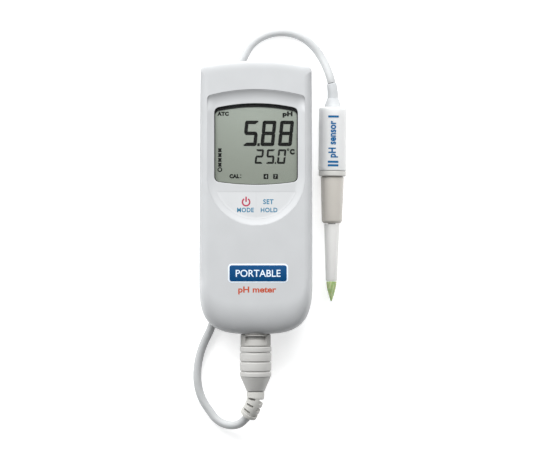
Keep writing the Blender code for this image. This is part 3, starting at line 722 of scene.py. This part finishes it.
def rear_shell(look):
    """Lower shell: rounded back, raised battery hump, deep screw wells."""
    outer = [case_ring(BACK_Z, 0.6, BACK_EDGE, 1.0)]
    outer += [case_ring(BACK_Z + BACK_EDGE_DEPTH * up, 0.0, BACK_EDGE, width)
              for width, up in rounding(12)]
    rim = [case_ring(SEAM_Z - down, inset)
           for down, inset in ((SEAM_CHAMFER, 0.0), (0.0, SEAM_CHAMFER), (0.0, 1.0), (1.2, 1.0),
                               (1.2, WALL))]
    floor = [case_ring(11.0, WALL), case_ring(7.7, WALL, BACK_EDGE, 0.5)]
    edge, root, boss_radius = 1.6, 0.9, 3.9
    rings = [ring_at(hump(edge * width), edge * down) for width, down in rounding(6)]
    rings += [ring_at(hump(-root * width), BACK_Z - root * down)
              for width, down in reversed([*rounding(5)])]
    rings.append(ring_at(hump(-root), BACK_Z + 0.8))
    places = [((low.x + high.x) / 2, (low.y + high.y) / 2)
              for low, high in (span(f"cover_screw_{index}") for index in range(1, 5))]
    well = ((0, -8.5), (3.1, -8.5), (3.1, -6.2), (3.5, -5.4), (3.6, -3), (0, -3))
    wells = [moved(spun(well, 40), Matrix.Translation((x, y, 0)) @ UPRIGHT) for x, y in places]
    bosses = [prism(circle(x, y, boss_radius), BACK_Z + 0.7, SEAM_Z - 0.1) for x, y in places]
    cuts = (prism(hump(1.8), 2.0, 9.7), *socket_room(), *wells)
    mesh = carved("case_rear", skin(outer + rim + floor), cuts, joins=(skin(rings), *bosses))
    piece("case_rear", mesh, look, "meter", "rear_cover", sharp=30, weighted=True)
    return places


def screw_heads(look, places):
    """Domed cross-recessed screws at the bottom of the wells."""
    head = ((0, 1.55), (1.6, 1.4), (2.7, 0.5), (2.7, 0.0), (1.3, 0.0), (1.3, -12.5), (0, -13.0))
    seat_z = 7.6
    arm = [(-1.5, -0.32), (1.5, -0.32), (1.5, 0.32), (-1.5, 0.32)]
    for index, (x, y) in enumerate(places, start=1):
        screw = turned(head, 0.3, Matrix.Translation((x, y, seat_z)) @ UPRIGHT, 40, False)
        arms = []
        for turn in (0.0, math.pi / 2):
            spin = Matrix.Rotation(turn + 0.5 * index, 4, "Z")
            arms.append(moved(skin([ring_at(arm, 5.0), ring_at(arm, 6.6),
                                    [(0.35 * u, 0.5 * v, 7.3) for u, v in arm]]),
                              Matrix.Translation((x, y, 0)) @ spin))
        piece(f"screw_{index}", carved(f"screw_{index}", screw, arms), look, "meter",
              f"cover_screw_{index}")


# ======== panel and keys
def from_crown(x, y):
    """Distance down from the shield's arched top."""
    return SHIELD_CROWN_RADIUS - math.hypot(x, y - SHIELD_CROWN + SHIELD_CROWN_RADIUS)


def from_side(x, y):
    """Distance in from the shield's sides and its round lower end."""
    if y > SHIELD_ARC_Y:
        return SHIELD_HALF - abs(x)
    return SHIELD_HALF - math.hypot(x, y - SHIELD_ARC_Y)


def dish(x, y):
    """Height of the panel: a shallow dish with a sloping border and a cove under its crown."""
    above = y - CREASE_Y
    fall = (DISH_Z - COVE_FOOT_Z) / (SHIELD_CROWN - COVE_REACH - CREASE_Y)
    height = DISH_Z - fall * above if above > 0 else DISH_Z - KEY_SLOPE * above
    border = min(1.0, max(0.0, 1 - from_side(x, y) / RIM_WIDTH)) ** RIM_CURVE
    border *= ease(from_crown(x, y) / COVE_REACH)
    cove = min(1.0, max(0.0, 1 - from_crown(x, y) / COVE_REACH)) ** COVE_CURVE
    return height + (PANEL_EDGE_Z - height) * (1 - (1 - border) * (1 - cove))


def dish_slab(step=0.55):
    """A slab over the whole dish, its top following the dish."""
    left, bottom = Vector((-SHIELD_HALF - 1, SHIELD_ARC_Y - SHIELD_HALF - 1))
    columns = math.ceil(2 * (SHIELD_HALF + 1) / step)
    rows = math.ceil((SHIELD_CROWN + 1 - bottom) / step)
    work = bmesh.new()
    grid = [[work.verts.new((x, y, dish(x, y))) for x in (left + step * i for i in range(columns + 1))]
            for y in (bottom + step * j for j in range(rows + 1))]
    for lower, upper in zip(grid, grid[1:]):
        for i in range(columns):
            work.faces.new((lower[i], lower[i + 1], upper[i + 1], upper[i]))
    border = grid[0] + [row[-1] for row in grid[1:]] + grid[-1][-2::-1]
    border += [row[0] for row in grid[-2:0:-1]]
    under = [work.verts.new((vert.co.x, vert.co.y, PANEL_LOW.z)) for vert in border]
    for i in range(len(border)):
        j = (i + 1) % len(border)
        work.faces.new((border[j], border[i], under[i], under[j]))
    work.faces.new(under[::-1])
    bmesh.ops.recalc_face_normals(work, faces=work.faces)
    return work


def panel(look):
    """The pale panel, with its window opening, the rebate below it and the keys' opening."""
    right_keys = key_outline(1, 0.0, 0.05)
    both_keys = right_keys + [(-x, y) for x, y in right_keys[-2::-1]]
    cuts = (lip_cutter(lambda grow: bulged_rectangle(**WINDOW, grow=grow), dish, lip=0.25,
                       floor=CUT_LOW),
            prism(bulged_rectangle(**WINDOW, grow=1.5), CUT_LOW, PANE_HIGH.z + 0.15),
            prism(both_keys, CUT_LOW, CUT_HIGH))
    mesh = carved("panel", dish_slab(), cuts, (prism(shield_outline(0.03), CUT_LOW, CUT_HIGH),))
    piece("panel", mesh, look, "meter", "front_panel", sharp=38)


def keys(look):
    """Two soft keys that continue the dish, each on its stem."""
    for name, side in (("mode", -1), ("hold", 1)):
        low, high = span(f"{name}_plunger")
        stem = prism(circle((low.x + high.x) / 2, (low.y + high.y) / 2, STEM_RADIUS),
                     KEY_LOW.z, STEM_TOP)
        cap = taken(carved(f"{name}_key_cap", dish_slab(),
                           (prism(shield_outline(-2), CUT_LOW, 27.0),),
                           (prism(key_outline(side, KEY_SEAM), CUT_LOW, CUT_HIGH),)))
        bmesh.ops.scale(cap, vec=(1 / MM, 1 / MM, 1 / MM), verts=cap.verts)
        piece(f"{name}_key_cap", carved(f"{name}_key_cap", cap, joins=(stem,)), look,
              f"{name}_key", f"{name}_button", sharp=38)


# ======== display
def band(look, name, slot, node, *levels):
    """A closed band round the window, through pairs of an outline and its height."""
    work = skin([ring_at(outline, z) for outline, z in levels], closed=True)
    piece(name, work, look, "meter", node)


def window(pane_look, mask_look, seal_look):
    """Clear pane, the black border printed under it, and its seal."""
    def pane(inset):
        return bulged_rectangle(**WINDOW, grow=WINDOW_GROW - inset)

    piece("window_pane", soft_plate(pane, PANE_LOW.z, PANE_HIGH.z, 0.2), pane_look, "meter",
          "display_window")
    around, top, thick = pane(0.0), PANE_LOW.z - 0.05, 0.06
    clear = bulged_rectangle(**dict(WINDOW, half=WINDOW["half"] - 0.45, high=WINDOW["high"] - 1.9,
                                    low=WINDOW["low"] + 0.35, corner=2.8))
    band(mask_look, "window_border", "black_plastic", None, (around, top - thick), (around, top),
         (clear, top), (clear, top - thick))
    low, high = (corner.z for corner in span("window_gasket"))
    inner, crown = bulged_rectangle(**WINDOW, grow=0.1), bulged_rectangle(**WINDOW, grow=0.6)
    band(seal_look, "window_seal", "seal_rubber", "window_gasket", (around, low), (around, high),
         (crown, high + 0.1), (inner, high), (inner, low))


SEGMENTS = {"0": "abcdef", "2": "abged", "5": "afgcd", "8": "abcdefg"}
BUFFER_MARKS = (("4", 5.6), ("7", 11.0))
DISPLAY_WORDS = (               # text, centre, width, height, weight, spacing
    ("ATC", (-18.6, 47.4), 6.5, 2.4, 0.075, 1.14), ("pH", (17.8, 47.0), 5.6, 3.5, 0.065, 1.1),
    ("C", (20.4, 26.0), 2.7, 3.2, 0.08, 1.0), ("CAL", (-12.2, 12.2), 5.6, 2.4, 0.075, 1.14),
)


def digit_shapes(digit, width, height, thick, gap=0.16):
    """Outlines of a digit's lit segments, before it is slanted, from its lower left corner."""
    middle, half = height / 2, thick / 2

    def across(y_outer, inward):
        """A bar along the top or bottom, mitred inwards."""
        reach = thick * inward
        return [(gap + 0.35 * thick, y_outer), (width - gap - 0.35 * thick, y_outer),
                (width - gap, y_outer + 0.3 * reach), (width - thick - gap * 0.4, y_outer + reach),
                (thick + gap * 0.4, y_outer + reach), (gap, y_outer + 0.3 * reach)]

    def upright(x_outer, inward, low, high, low_cut, high_cut):
        """A side bar, mitred at the ends."""
        reach = thick * inward
        return [(x_outer, low + gap + low_cut * 0.35), (x_outer, high - gap - high_cut * 0.35),
                (x_outer + 0.3 * reach, high - gap), (x_outer + reach, high - gap - high_cut),
                (x_outer + reach, low + gap + low_cut), (x_outer + 0.3 * reach, low + gap)]

    shapes = dict(
        a=across(height, -1), d=across(0, 1),
        g=[(gap, middle), (gap + half, middle + half), (width - gap - half, middle + half),
           (width - gap, middle), (width - gap - half, middle - half), (gap + half, middle - half)],
        f=upright(0, 1, middle, height, half, thick),
        b=upright(width, -1, middle, height, half, thick),
        e=upright(0, 1, 0, middle, thick, half), c=upright(width, -1, 0, middle, thick, half))
    return [shapes[letter] for letter in SEGMENTS[digit]]


def slanted(outline, x, y, slope):
    return [(x + u + slope * v, y + v) for u, v in outline]


def number(text, x, y, pitch, width, height, thick, slope=0.10):
    """Outlines of a slanted seven-segment number; a point sits low, before the next digit."""
    shapes = []
    for character in text:
        if character == ".":
            side = 0.7 * thick
            start = x - (pitch - width) / 2 - side * 0.5
            shapes.append(slanted(((0, 0), (side, 0), (side, 1.2 * side), (0, 1.2 * side)),
                                  start, y, slope))
            continue
        shapes += [slanted(shape, x, y, slope)
                   for shape in digit_shapes(character, width, height, thick)]
        x += pitch
    return shapes


def lettering(text, centre, width, height, z, thick=0.03, weight=0.0, spacing=1.0):
    """Flat generic lettering of a given width and height as a bmesh in millimetres."""
    curve = bpy.data.curves.new("text", "FONT")
    curve.body, curve.size, curve.offset = text, 1.0, weight
    curve.space_character = spacing
    curve.resolution_u = 6
    item = linked("text", curve)
    graph = bpy.context.evaluated_depsgraph_get()
    mesh = bpy.data.meshes.new_from_object(item.evaluated_get(graph))
    bpy.data.objects.remove(item)
    work = taken(mesh)
    low = [min(vert.co[axis] for vert in work.verts) for axis in (0, 1)]
    high = [max(vert.co[axis] for vert in work.verts) for axis in (0, 1)]
    fit = (Matrix.Translation((*centre, z))
           @ Matrix.Diagonal((width / (high[0] - low[0]), height / (high[1] - low[1]), 1, 1))
           @ Matrix.Translation((-(low[0] + high[0]) / 2, -(low[1] + high[1]) / 2, 0)))
    bmesh.ops.remove_doubles(work, verts=work.verts, dist=0.0005)
    moved(work, fit)
    top = bmesh.ops.extrude_face_region(work, geom=work.faces[:])
    raised = [item for item in top["geom"] if isinstance(item, bmesh.types.BMVert)]
    bmesh.ops.translate(work, verts=raised, vec=(0, 0, thick))
    bmesh.ops.recalc_face_normals(work, faces=work.faces)
    return work


def ring_mark(centre, radius, width, z, thick=0.03, start=0.0, sweep=math.tau, steps=40):
    """A flat ring, or part of one."""
    whole = sweep == math.tau
    inner, outer = (arc(*centre, radius + half, start, start + sweep, steps)
                    for half in (-width / 2, width / 2))
    stations = [[(*a, z), (*b, z), (*b, z + thick), (*a, z + thick)] for a, b in zip(inner, outer)]
    return skin(stations[:-1] if whole else stations, closed=whole)


def display(glass_look, film_look, lit_look, paper_look):
    """Glass cell, its front film, and everything the display shows."""
    def sheet(shrink):
        return lambda inset: rounded_rectangle(CELL_HIGH.x - shrink - inset,
                                               CELL_LOW.y + shrink + inset,
                                               CELL_HIGH.y - shrink - inset, 0.5)

    middle = (CELL_LOW.z + CELL_HIGH.z) / 2
    piece("display_cell", merged(soft_plate(sheet(0.0), CELL_LOW.z, middle - 0.02, 0.12),
                                 soft_plate(sheet(0.6), middle + 0.02, CELL_HIGH.z, 0.12)),
          glass_look, "meter", "lcd_glass")
    film_z = PANE_LOW.z - 0.42
    film = soft_plate(lambda inset: bulged_rectangle(**WINDOW, grow=-0.1 - inset),
                      CELL_HIGH.z + 0.02, film_z, 0.05)
    piece("display_film", film, film_look, "meter")

    low, high = film_z + 0.01, film_z + 0.03
    shapes = number("5.88", x=-7.5, y=29.2, pitch=9.9, width=7.8, height=14.35, thick=2.0)
    shapes += number("25.0", x=-0.85, y=19.2, pitch=6.3, width=4.6, height=8.2, thick=1.15)
    shapes += [rounded_rectangle(0.3, y, y + 0.6, 0.12, 3, -8.6) for y in (11.1, 12.6)]
    shapes += [rounded_rectangle(1.35, 10.6, 13.5, 0.3, 4, x) for text, x in BUFFER_MARKS]
    works = [prism(shape, low, high) for shape in shapes]
    works += [lettering(text, centre, width, height, low, weight=weight, spacing=spacing)
              for text, centre, width, height, weight, spacing in DISPLAY_WORDS]
    works += [ring_mark((18.1, 27.2), 0.5, 0.45, low, steps=16), *gauge_mark(low, high)]
    piece("display_digits", merged(*works), lit_look, "meter", sharp=60)
    windows = [lettering(text, (x, 12.05), 1.1, 1.9, high + 0.01, 0.01, 0.02)
               for text, x in BUFFER_MARKS]
    piece("display_buffer_numbers", merged(*windows), paper_look, "meter", sharp=60)


def gauge_mark(low, high):
    """The electrode indicator: a ring at the bottom and a column of waisted blocks."""
    x, ring_y, first_y = -20.4, 15.9, 17.6
    half, waist, block, pitch = 1.15, 0.75, 2.2, 2.7
    works = [ring_mark((x, ring_y), 1.05, 0.6, low, high - low, steps=28)]
    for y in (first_y + pitch * i for i in range(4)):
        works.append(prism([(x - half, y), (x + half, y), (x + waist, y + block / 2),
                            (x + half, y + block), (x - half, y + block),
                            (x - waist, y + block / 2)], low, high))
    return works


# ======== prints on the case
def prints(blue, red, orange, badge_blue, badge_white):
    """Key legends, the badge and the words under it."""
    def on_key(name, body, ink_look, *works):
        """Lay flat marks on the dish."""
        work = merged(*works)
        for vert in work.verts:
            vert.co.z = dish(vert.co.x, vert.co.y) + vert.co.z
        piece(name, work, ink_look, body, sharp=60)

    def word(text, centre, width, height):
        return lettering(text, centre, width, height, INK_GAP, INK, 0.024, 1.1)

    on_key("mode_legend", "mode_key", blue, word("MODE", (-6.0, -6.85), 9.4, 2.6))
    x, y, stroke = -5.65, -2.4, 0.85
    arc_mark = ring_mark((x, y), 2.05, stroke, INK_GAP, INK, math.radians(122), math.radians(296), 48)
    bar = prism(rounded_rectangle(stroke / 2, y + 0.1, y + 3.1, 0.2, 4, x), INK_GAP, INK_GAP + INK)
    on_key("power_legend", "mode_key", red, arc_mark, bar)
    on_key("hold_legend", "hold_key", blue, word("SET", (6.9, -2.2), 5.8, 2.8),
           word("HOLD", (7.3, -6.85), 9.4, 2.6))

    middle, half, low, high, corner, layer = 1.1, 16.1, -47.0, -37.9, 1.3, 0.05

    def badge(grow):
        return lambda inset: rounded_rectangle(half + grow - inset, low - grow + inset,
                                               high + grow - inset, corner + grow - inset, 8, middle)

    for name, grow, level, look in (("badge_border", 0.8, 0, badge_white),
                                    ("badge_field", 0.0, 1, badge_blue)):
        bottom = FACE_Z + level * layer
        piece(name, soft_plate(badge(grow), bottom, bottom + layer, 0.02, 2), look, "meter")
    piece("badge_word", lettering("PORTABLE", (middle, (low + high) / 2), 25.2, 4.0,
                                  FACE_Z + 2 * layer, 0.03, 0.01),
          badge_white, "meter", sharp=60)
    piece("type_word", lettering("pH meter", (0.6, -52.1), 21.4, 4.5, FACE_Z, 0.03, 0.03), orange,
          "meter", sharp=60)


# ======== plug
def swept(axis, stations, radius, steps):
    """A closed tube along axis(along), which heads to -y; radius(along, turn) gives its surface.

    Turn 0 faces up, a quarter turn faces the right.
    """
    rings = []
    for along in stations:
        centre, heading = axis(along)
        right = Vector((0, 0, 1)).cross(heading).normalized()
        up = heading.cross(right).normalized()
        rings.append([centre + radius(along, turn) * (up * math.cos(turn) + right * math.sin(turn))
                      for turn in turns(steps)])
    return skin(rings)


def crisp(edges, low, high, step, margin=0.04):
    """Stations from low to high, doubled either side of each edge so that walls stay steep."""
    count = math.ceil((high - low) / step)
    spare = [low + (high - low) * i / count for i in range(count + 1)]
    places = {low, high, *(edge + side for edge in edges for side in (-margin, margin)),
              *(at for at in spare if all(abs(at - edge) > 3 * margin for edge in edges))}
    return sorted(at for at in places if low <= at <= high)


BOOT_LENGTH = 15.0
BOOT_STRAIGHT = 2.0             # then it bends by these angles, most of it near the start
BOOT_SIDEWAYS, BOOT_DOWN = math.radians(30), math.radians(24)
BOOT_END_EDGE = 0.15
BOOT_SLOTS = ((3.3, 4.5), (7.0, 8.2), (10.7, 11.9))         # from and to, along the boot
BOOT_NOTCHES = ((3.7, 5.7), (7.4, 9.4), (11.1, 13.0))       # wider ones on the right
BOOT_OPENINGS = ((-56, -1, BOOT_SLOTS), (30, 152, BOOT_NOTCHES), (182, 262, BOOT_SLOTS))


def boot_heading(along):
    """Direction of the boot, which leaves the plug straight and then bends."""
    rest = 1 - max(0.0, along - BOOT_STRAIGHT) / (BOOT_LENGTH - BOOT_STRAIGHT)
    bend = 1 - rest ** 2
    sideways, down = BOOT_SIDEWAYS * bend, BOOT_DOWN * bend
    level = math.cos(down)
    return Vector((-math.sin(sideways) * level, -math.cos(sideways) * level, -math.sin(down)))


def boot_axis(along):
    """Centre and heading of the boot at a distance from the plug."""
    steps = 40
    centre = Vector((0, BOOT_START_Y, PLUG_Z))
    for i in range(steps):
        centre += boot_heading(along * (i + 0.5) / steps) * (along / steps)
    return centre, boot_heading(along)


def boot_radius(along, turn):
    """Neck, slots through ribs joined by three spines, and the end flange. Openings are in degrees."""
    neck, spine, core = 5.0, 4.8, 2.38
    if not BOOT_END_EDGE <= along <= BOOT_LENGTH - BOOT_END_EDGE:
        return neck - 0.2
    degrees = math.degrees(turn)
    for first, last, slots in BOOT_OPENINGS:
        facing = first < degrees < last or first < degrees - 360 < last
        if facing and any(low < along < high for low, high in slots):
            return core
    return spine if BOOT_SLOTS[0][0] < along < BOOT_NOTCHES[-1][1] else neck


def around_y(radius, turn, y):
    """A point at this distance from the y axis, turned from the top towards the right."""
    return radius * math.sin(turn), y, radius * math.cos(turn)


def plug_collar(look):
    """The plug's collar, with a recess under its top edge that fades out towards the grip."""
    outer, inner, edge = COLLAR_HIGH.x, 7.1, 0.3
    top, bottom = COLLAR_HIGH.y, GRIP_HIGH.y + 0.08
    recess_top, recess_end, recess_half, recess_depth = top - 0.5, -83.2, math.radians(45), 1.4

    def surface(y, turn):
        facing = min(turn, math.tau - turn) / recess_half
        if facing >= 1 or not recess_end < y < recess_top - 0.5 * facing ** 2:
            return outer
        return outer - recess_depth * min(1.0, 1.7 * (y - recess_end) / (recess_top - recess_end))

    profile = [(outer - edge, bottom),
               *[(None, y) for y in crisp((recess_top,), bottom + edge, top - edge, 0.18)],
               (outer - edge, top), (inner, top), (inner, bottom)]
    rings = [[around_y(fixed or surface(y, turn), turn, y) for turn in turns(180)]
             for fixed, y in profile]
    piece("connector_collar", moved(skin(rings, closed=True), PLUG_AXIS), look, "probe_lead",
          "plug_collar")


def plug(grey, shaded_collar_look, boot_look, metal_look, sleeve_look):
    """Collar, ribbed grip and cone, slotted boot, metal nose, and the socket's sleeve."""
    # the collar's darker look is painted shade, standing in for the nose's shadow
    plug_collar(shaded_collar_look)
    bore, full, groove, low = 7.1, GRIP_HIGH.x, GRIP_HIGH.x - 0.65, GRIP_LOW.y
    grip = [(0, -88.0), (bore, -88.0), (bore, -84.2), (groove, GRIP_HIGH.y)]
    for rib_high, rib_low in ((-84.2, -87.35), (-87.85, -92.65), (-93.15, -98.15), (-98.65, -101.5)):
        grip += [(groove, rib_high - 0.05), (full, rib_high - 0.3), (full, rib_low + 0.3),
                 (groove, rib_low + 0.05)]
    grip += [(full - 0.4, -101.6), (5.2, low + 0.2), (4.8, low), (0, low)]
    piece("connector_grip", turned(grip, 0.22, PLUG_AXIS, closed=False), grey, "probe_lead",
          "plug_grip", sharp=50)

    edges = [edge for slot in BOOT_SLOTS + BOOT_NOTCHES for edge in slot]
    edges += [BOOT_END_EDGE, BOOT_LENGTH - BOOT_END_EDGE]
    work = swept(boot_axis, crisp(edges, 0.0, BOOT_LENGTH, 0.35), boot_radius, 180)
    piece("connector_boot", work, boot_look, "probe_lead", "plug_boot", sharp=40)

    low, high = span("plug_shell")
    inner, radius = 6.15, high.x
    nose = ((inner, low.y), (radius, low.y), (radius, -70.2), (radius - 0.1, -70.0),
            (radius - 0.1, -69.2), (radius, -69.0), (radius, high.y), (inner, high.y))
    piece("connector_nose", turned(nose, 0.12, PLUG_AXIS, 96), metal_look, "probe_lead",
          "plug_shell")
    wide, flange, low, high = 8.1, SOCKET_HIGH.x, SOCKET_LOW.y, SOCKET_HIGH.y
    flange_low, flange_high = low + 6.7, low + 8.0
    sleeve = ((bore, low), (wide, low), (wide, flange_low), (flange, flange_low),
              (flange, flange_high), (wide, flange_high), (wide, high), (bore, high))
    piece("socket_sleeve", turned(sleeve, 0.2, PLUG_AXIS, 96), sleeve_look, "meter",
          "din_socket")


# ======== probe
def probe_frame():
    """Matrix from the probe's own axis to the scene, both in millimetres."""
    low, high = span("probe_handle")
    tip_low, tip_high = span("glass_tip")
    handle, tip = (low + high) / 2, (tip_low + tip_high) / 2
    heading = (handle - tip).normalized()
    lean = math.atan2(heading.x, heading.y)
    origin = handle - heading * (handle.y / heading.y)
    return Matrix.Translation(origin) @ Matrix.Rotation(-lean, 4, "Z")


def wrapped_print():
    """The handle's print, cut into strips and wrapped round the handle's upper side."""
    radius, centre_y, float_off, strip = 8.0, 33.6, 0.02, 0.6
    bars = [prism(rounded_rectangle(0.6, -3.1, 3.1, 0.3, 5, x), 0, 0.03) for x in (-12.9, -14.9, 12.9)]
    label = merged(lettering("pH sensor", (0, 0), 21.0, 5.6, 0, 0.03, 0.035, 1.04), *bars)
    for i in range(-6, 7):
        bmesh.ops.bisect_plane(label, geom=[*label.verts, *label.edges, *label.faces], dist=1e-4,
                               plane_co=(0, strip * i, 0), plane_no=(0, 1, 0))
    for vert in label.verts:
        vert.co = around_y(radius + float_off + vert.co.z, -vert.co.y / radius, centre_y + vert.co.x)
    return label


def relief_work():
    """The strain relief, whose upper part bends over with the cable."""
    bend, bend_start, bend_length = 0.75, 57.0, 8.5
    profile = rounded([(0.5, 50.0), (4.3, 50.0), (4.3, 52.4), (4.8, 52.5), (4.75, 52.8),
                       (3.4, 57.0), (3.1, 57.1), (3.0, 61.0), (2.85, 65.6), (2.75, 65.8),
                       (0.5, 65.8)], 0.06)
    rings = []
    for radius, y in profile:
        share = max(0.0, (y - bend_start) / bend_length)
        lean = math.atan(2 * bend * share / bend_length)
        rings.append([(radius * math.cos(turn) * math.cos(lean) - bend * share ** 2,
                       y + radius * math.cos(turn) * math.sin(lean), radius * math.sin(turn))
                      for turn in turns(96)])
    return skin(rings)


def probe(white, rim_look, sleeve_look, stem_look, tip_look, relief_look, blue):
    """Strain relief, handle with its print, sleeve, stem and glass tip on one axis."""
    axis = probe_frame()
    handle = ((6.3, 16.2), (7.5, 16.2), (7.5, 15.7), (8.0, 15.9), (8.0, 50.6), (7.9, 51.5),
              (7.3, 52.2), (4.7, 52.2), (4.7, 49.6), (6.3, 48.6))
    ring = ((6.25, 12.6), (7.5, 12.6), (7.85, 13.0), (7.85, 15.4), (7.45, 15.55), (7.45, 16.1),
            (6.25, 16.1))
    sleeve = ((2.9, -14.4), (4.8, -14.4), (5.2, -13.9), (5.85, -12.9), (6.6, 12.0), (6.0, 12.4),
              (6.0, 18.0), (2.9, 18.0))
    stem = ((2.35, -47.3), (3.1, -47.3), (3.25, -47.0), (4.45, -14.9), (4.25, -14.7),
            (2.35, -14.7))
    tip = ((0, -59.2), (0.55, -58.5), (1.55, -55.4), (2.5, -51.8), (2.95, -49.4), (3.05, -47.9),
           (2.95, -47.6), (1.95, -47.6), (1.9, -49.8), (0, -54.0))
    for name, work, look, slot, node in (
            ("cable_relief", moved(relief_work(), axis), relief_look, "boot_rubber",
             "strain_relief"),
            ("grip_body", turned(handle, 0.35, axis), white, "probe_white", "probe_handle"),
            ("grip_ring", turned(ring, 0.2, axis), rim_look, "probe_white", None),
            ("holder_sleeve", turned(sleeve, 0.4, axis), sleeve_look, "probe_sleeve",
             "probe_sleeve"),
            ("shaft", turned(stem, 0.2, axis), stem_look, "probe_stem", "probe_stem"),
            ("sensing_tip", turned(tip, 0.5, axis, 96, False, 6), tip_look, "tip_glass",
             "glass_tip")):
        piece(name, work, look, "probe_lead", node)
    piece("grip_print", moved(wrapped_print(), axis), blue, "probe_lead", sharp=60)


# ======== what stays from the frame
def dress(looks):
    """Give every CAD node that still shows its finished material."""
    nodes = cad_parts
    for look, names in looks:
        for name in names:
            data = nodes[name].data
            data.materials.clear()
            data.materials.append(look)
            data.shade_smooth()
            data.set_sharp_from_angle(angle=math.radians(35))


def numbered(stem, count):
    return [f"{stem}_{index}" for index in range(1, count + 1)]


def build():
    camera_and_light()
    cable_look = plastic("cable_jacket", (0.45, 0.46, 0.465), 0.5, grain=0.3, relief=0.01)
    lead, path, length = cable(cable_look)
    table_top()

    case = plastic("case_plastic", (0.50, 0.51, 0.52))
    pale = plastic("panel_plastic", (0.515, 0.525, 0.535), 0.38)
    key_look = plastic("key_rubber", (0.565, 0.575, 0.585), 0.5)
    steel = metal("steel", (0.58, 0.58, 0.57))
    nickel = metal("nickel", (0.62, 0.60, 0.56), 0.22)
    seal = rubber("seal_rubber", (0.02, 0.02, 0.02))
    black = plastic("black_plastic", (0.018, 0.018, 0.02), 0.5)
    front_shell(case)
    screw_heads(steel, rear_shell(case))
    panel(pale)
    keys(key_look)
    window(clear_plastic("clear_acrylic"), ink("border_ink", (0.008, 0.008, 0.009)), seal)
    display(plastic("display_glass", (0.22, 0.26, 0.24), 0.15), display_film("display_film"),
            ink("display_black", (0.003, 0.004, 0.003), 0.6), ink("display_pale", (0.36, 0.39, 0.35)))
    prints(ink("print_blue", (0.01, 0.17, 0.30)), ink("print_red", (0.42, 0.05, 0.09)),
           ink("print_orange", (0.47, 0.08, 0.035)), ink("badge_blue", (0.0, 0.055, 0.17)),
           ink("badge_white", (0.72, 0.80, 0.88)))
    grey = plastic("plug_plastic", (0.47, 0.465, 0.45), 0.5)
    boot_look = rubber("boot_rubber", (0.52, 0.515, 0.49))
    # The collar's plastic is a darker copy of the grey plug plastic: painted shade for the shadow the
    # meter's nose casts over the collar.
    plug(grey, plastic("collar_painted_shade_plastic", (0.31, 0.305, 0.29), 0.5), boot_look, nickel,
         metal("satin_nickel", (0.40, 0.40, 0.39), 0.5))
    milky = dict(Subsurface_Weight=0.7, Subsurface_Scale=0.004, Subsurface_Radius=(1.0, 1.0, 1.0))
    white = plastic("probe_plastic", (0.74, 0.745, 0.745), 0.36, **milky)
    probe(white, plastic("ring_plastic", (0.56, 0.555, 0.53), 0.4),
          plastic("sleeve_plastic", (0.54, 0.515, 0.475), 0.42, mottle=0.03, **milky),
          plastic("stem_plastic", (0.74, 0.735, 0.715), 0.42, **milky), tip_material("tip_gel"),
          rubber("relief_rubber", (0.53, 0.545, 0.555)), ink("probe_blue", (0.01, 0.12, 0.30)))
    cells = banded("cell_wrap", "Y", ((-32.0, (0.012, 0.02, 0.07)), (4.0, (0.012, 0.025, 0.08)),
                                      (4.6, (0.55, 0.30, 0.05)), (12.5, (0.60, 0.34, 0.06))), 0.3, 0.4)
    ribbon = banded("ribbon", "X", tuple((-4 + 0.8 * i, (0.45, 0.44, 0.42) if i % 2 else
                                          (0.25, 0.25, 0.25)) for i in range(11)), 0.5)
    board = circuit_board("board_laminate")
    dress((
        (board, ["main_board", "preamp_board"]),
        (black, ["processor_chip", "mode_switch", "hold_switch", "battery_holder", "lcd_frame",
                 "plug_insert", "socket_insert"]),
        (steel, ["socket_nut", "mode_plunger", "hold_plunger", *numbered("board_screw", 2),
                 *numbered("battery_spring", 3), *numbered("battery_plate", 3),
                 "temperature_sensor"]),
        (nickel, [*numbered("plug_pin", 5), "silver_wire"]),
        (seal, ["case_gasket", "socket_seal", *numbered("zebra_strip", 2)]),
        (cells, numbered("battery_cell", 3)),
        (ribbon, ["socket_ribbon"]),
        (plastic("inner_tube", (0.60, 0.62, 0.60), 0.1), ["electrode_tube"]),
    ))


build()
